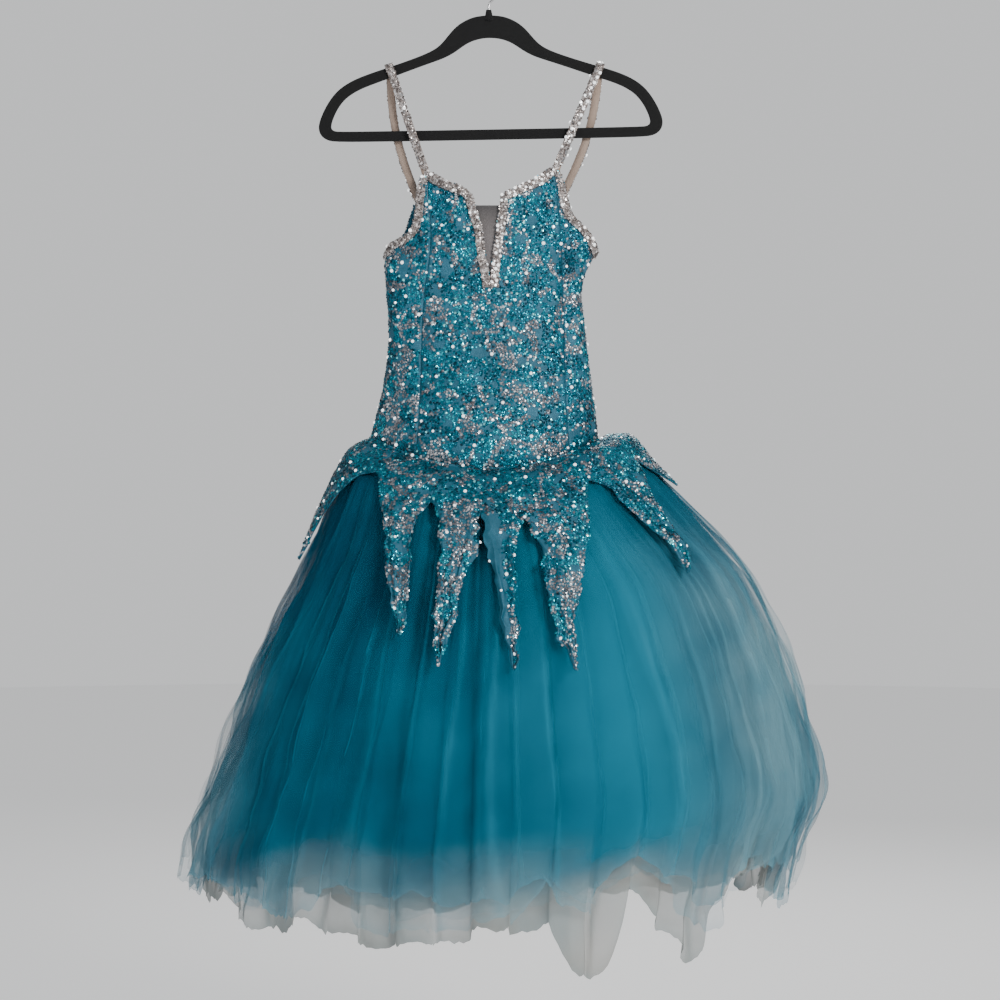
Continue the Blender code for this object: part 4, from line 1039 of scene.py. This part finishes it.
def shade_upper_part(material, low, high, darkest):
    """Darkens a finish towards its top, between two heights."""
    tree = material.node_tree
    base = tree.nodes["Principled BSDF"].inputs["Base Color"]
    lit = base.links[0].from_socket
    place = add_node(tree, "ShaderNodeTexCoord").outputs["Object"]
    apart = add_node(tree, "ShaderNodeSeparateXYZ")
    tree.links.new(place, apart.inputs[0])
    upper = spread_range(tree, apart.outputs["Z"], low, high, 0.0, 1.0)
    tree.links.new(mix_colours(tree, upper, lit, darkest), base)


def stone_material():
    material, tree, shader = new_material("crystal_stones", (0.92, 0.94, 0.96), 0.10, 0.15)
    soft = add_node(tree, "ShaderNodeTexNoise")
    soft.inputs["Scale"].default_value = 900.0
    place = add_node(tree, "ShaderNodeTexCoord").outputs["Object"]
    tree.links.new(place, soft.inputs["Vector"])
    colour = mix_colours(tree, soft.outputs["Fac"], (0.86, 0.94, 0.97), (1.0, 1.0, 1.0))
    tree.links.new(colour, shader.inputs["Base Color"])
    shader.inputs["Coat Weight"].default_value = 1.0
    shader.inputs["Coat Roughness"].default_value = 0.03
    # Painted glow: the stones give off light of their own to stand in for glints.
    shader.inputs["Emission Color"].default_value = (1.0, 1.0, 1.0, 1.0)
    shader.inputs["Emission Strength"].default_value = 1.2
    return material


def steel_material(group):
    material, tree, shader = new_material("hook_steel", (0.55, 0.55, 0.56), 0.25, 1.0)
    marks = place_group(tree, group, Cells_per_metre=1500.0, Drift_per_metre=160.0)
    tree.links.new(
        spread_range(tree, marks.outputs["Drift"], 0.3, 0.7, 0.18, 0.34), shader.inputs["Roughness"]
    )
    tree.links.new(
        mix_colours(tree, marks.outputs["Drift"], (0.46, 0.46, 0.47), (0.62, 0.62, 0.63)),
        shader.inputs["Base Color"],
    )
    return material


net_group = make_net_group()
ground = ground_material(net_group)
sequins = sequin_material()
braid_sequins = braid_sequin_material()
stones = stone_material()
braid = cloth_material("silver_braid", net_group, (0.30, 0.31, 0.33), (0.42, 0.40, 0.40), 900.0, 0.45, 0.1)
nude_net = cloth_material("nude_net", net_group, (0.17, 0.155, 0.16), (0.235, 0.21, 0.205), 850.0, 0.8, 0.3)
shade_upper_part(nude_net, -0.352, -0.308, (0.075, 0.070, 0.072))
elastic = cloth_material("nude_elastic", net_group, (0.33, 0.24, 0.19), (0.42, 0.32, 0.26), 1000.0, 0.75, 0.2)
flock = cloth_material("black_flock", net_group, (0.0016, 0.0016, 0.0018), (0.0045, 0.0045, 0.005), 2200.0, 0.95, 0.03)
steel = steel_material(net_group)
# Each tulle finish: its painted shaded colour, its painted lit colour, and its pale colour.
blue_tulle = tulle_material(
    "blue_tulle", net_group, (0.001, 0.066, 0.124), (0.008, 0.232, 0.350), (0.155, 0.330, 0.400)
)
ivory_tulle = tulle_material(
    "ivory_tulle", net_group, (0.215, 0.222, 0.210), (0.345, 0.328, 0.298), (0.300, 0.345, 0.352)
)

# The sequinned cloth
PANELS = [
    ("bodice_front", "centre_front"),
    ("bodice_side_left", "side_front_left"),
    ("bodice_side_right", "side_front_right"),
    ("bodice_back", "back_panel"),
]
panels = {
    node: finish_piece(finer_copy(node, name, 1), ground) for node, name in PANELS
}
panels["overskirt"] = finish_piece(make_overskirt(), ground)
for number, (node, name) in enumerate(PANELS):
    beside = surface_of([panels[other] for other, _ in PANELS if other != node])
    sew_sequins(
        panels[node], f"sequins_on_{name}", away_from_body, np.random.default_rng(50 + number), sequins,
        beside,
    )
sew_sequins(
    panels["overskirt"], "sequins_on_pointed_overskirt", away_and_up, np.random.default_rng(54), sequins,
)
set_stones(
    [(panels[node], 0.66) for node in ("bodice_front", "bodice_side_left", "bodice_side_right", "bodice_back")],
    "stones_on_bodice", away_from_body, STONE_SPACING, 0.0012, np.random.default_rng(71), stones,
)
set_stones(
    [(panels["overskirt"], 0.66)], "stones_on_overskirt", away_and_up, STONE_SPACING * 1.2, 0.0012,
    np.random.default_rng(72), stones,
)

# The braids and straps
EDGE_TRIMS = ["trim_neck_left", "trim_neck_right", "trim_armhole_left", "trim_armhole_right"]
STRAP_TRIMS = ["trim_strap_left", "trim_strap_right"]
braids = {
    node: finish_piece(finer_copy(node, f"{node}_braid", 1), braid)
    for node in EDGE_TRIMS + STRAP_TRIMS
}
elastics = {
    side: finish_piece(finer_copy(f"strap_{side}", f"strap_{side}_elastic", 1), elastic)
    for side in ("left", "right")
}
corners = []
for side in ("left", "right"):
    strap_end, neck_end, armhole_end = (
        front_end(braids[f"trim_{place}_{side}"], upward)
        for place, upward in (("strap", -1), ("neck", 1), ("armhole", 1))
    )
    carriers = [elastics[side], panels["bodice_front"], panels[f"bodice_side_{side}"]]
    outward = np.array([-1.0 if side == "left" else 1.0, 0.0, 0.0])
    corner = blend(neck_end, armhole_end, 0.35) + outward * CORNER_REACH
    for stops in ((strap_end, neck_end), (neck_end, corner, armhole_end)):
        corners.append((stops, surface_of(carriers)))
sew_braid(
    [braids[node] for node in EDGE_TRIMS], "braid_sequins_on_edges", away_from_body,
    np.random.default_rng(81), braid_sequins, corners,
)
sew_braid(
    [braids[node] for node in STRAP_TRIMS], "braid_sequins_on_straps", away_from_loop,
    np.random.default_rng(82), braid_sequins,
)
set_stones(
    [(braids["trim_neck_right"], 0.9), (braids["trim_neck_left"], 0.12),
     (braids["trim_armhole_left"], 0.15), (braids["trim_armhole_right"], 0.15)],
    "braid_stones_on_edges", away_from_body, CLOSE_STONES, BRAID_STONE_LIFT, np.random.default_rng(83), stones,
)
set_stones(
    [(braids["trim_strap_right"], 0.75), (braids["trim_strap_left"], 0.08)],
    "braid_stones_on_straps", away_from_loop, CLOSE_STONES, BRAID_STONE_LIFT, np.random.default_rng(84), stones,
)
finish_piece(finer_copy("plunge_mesh", "plunge_net", 1), nude_net)

# The hanger and its hook
finish_piece(finer_copy("hanger", "flocked_hanger", 2), flock)
finish_piece(finer_copy("hanger_hook", "steel_hook", 2), steel)

# The tulle
TULLE_FINISHES = {"tulle_blue": blue_tulle, "tulle_ivory": ivory_tulle}
swing_phase = wave_round(SWING_FOLDS, np.random.default_rng(5), 0.55)
above = []
for layer in TULLE:
    above.append(make_tulle(layer, above, swing_phase, TULLE_FINISHES[layer.slot]))


def make_floor():
    bpy.ops.mesh.primitive_circle_add(
        vertices=96, radius=FLOOR_RADIUS, fill_type="NGON", location=(0, 0, FLOOR_HEIGHT)
    )
    floor = bpy.context.object
    floor.name = "studio_floor"
    material, _, shader = new_material("floor_paper", (0.84, 0.84, 0.84), 0.9)
    shader.inputs["Emission Color"].default_value = (1.0, 1.0, 1.0, 1.0)
    shader.inputs["Emission Strength"].default_value = 0.34
    floor.data.materials.append(material)
    floor.select_set(False)


def add_area_light(name, place, target, size, power, colour):
    light = bpy.data.lights.new(name, "AREA")
    light.shape = "DISK"
    light.size = size
    light.energy = power
    light.color = colour
    lamp = bpy.data.objects.new(name, light)
    lamp.location = place
    direction = Vector(target) - Vector(place)
    lamp.rotation_euler = direction.to_track_quat("-Z", "Y").to_euler()
    bpy.context.scene.collection.objects.link(lamp)


def add_camera():
    data = bpy.data.cameras.new("camera")
    data.sensor_width = SENSOR
    data.lens = SENSOR * CAMERA_DISTANCE / VIEW_WIDTH
    data.shift_x = VIEW_SHIFT
    data.dof.use_dof = False
    camera = bpy.data.objects.new("camera", data)
    camera.location = (0.0, -CAMERA_DISTANCE, CAMERA_HEIGHT)
    camera.rotation_euler = (math.radians(90), 0.0, 0.0)
    bpy.context.scene.collection.objects.link(camera)
    bpy.context.scene.camera = camera


def set_world():
    """Soft light all round, and a paler backdrop of the floor's own tone."""
    world = bpy.data.worlds.new("studio")
    world.use_nodes = True
    tree = world.node_tree
    light = tree.nodes["Background"]
    light.inputs["Color"].default_value = (0.80, 0.82, 0.84, 1.0)
    light.inputs["Strength"].default_value = 0.50
    seen = add_node(tree, "ShaderNodeBackground")
    seen.inputs["Color"].default_value = (0.80, 0.81, 0.82, 1.0)
    seen.inputs["Strength"].default_value = 0.92
    path = add_node(tree, "ShaderNodeLightPath")
    mix = add_node(tree, "ShaderNodeMixShader")
    tree.links.new(path.outputs["Is Camera Ray"], mix.inputs[0])
    tree.links.new(light.outputs[0], mix.inputs[1])
    tree.links.new(seen.outputs[0], mix.inputs[2])
    tree.links.new(mix.outputs[0], tree.nodes["World Output"].inputs["Surface"])
    bpy.context.scene.world = world


make_floor()
set_world()
add_area_light("key", (1.5, -2.6, 0.5), (0.0, 0.0, -0.7), 0.9, 75.0, (1.0, 0.98, 0.95))
add_area_light("fill", (-2.4, -2.4, 0.1), (0.0, 0.0, -0.8), 1.8, 12.0, (0.90, 0.95, 1.0))
add_area_light("back", (0.6, 2.6, 0.8), (0.0, 0.0, -0.7), 1.6, 35.0, (1.0, 1.0, 1.0))
add_camera()
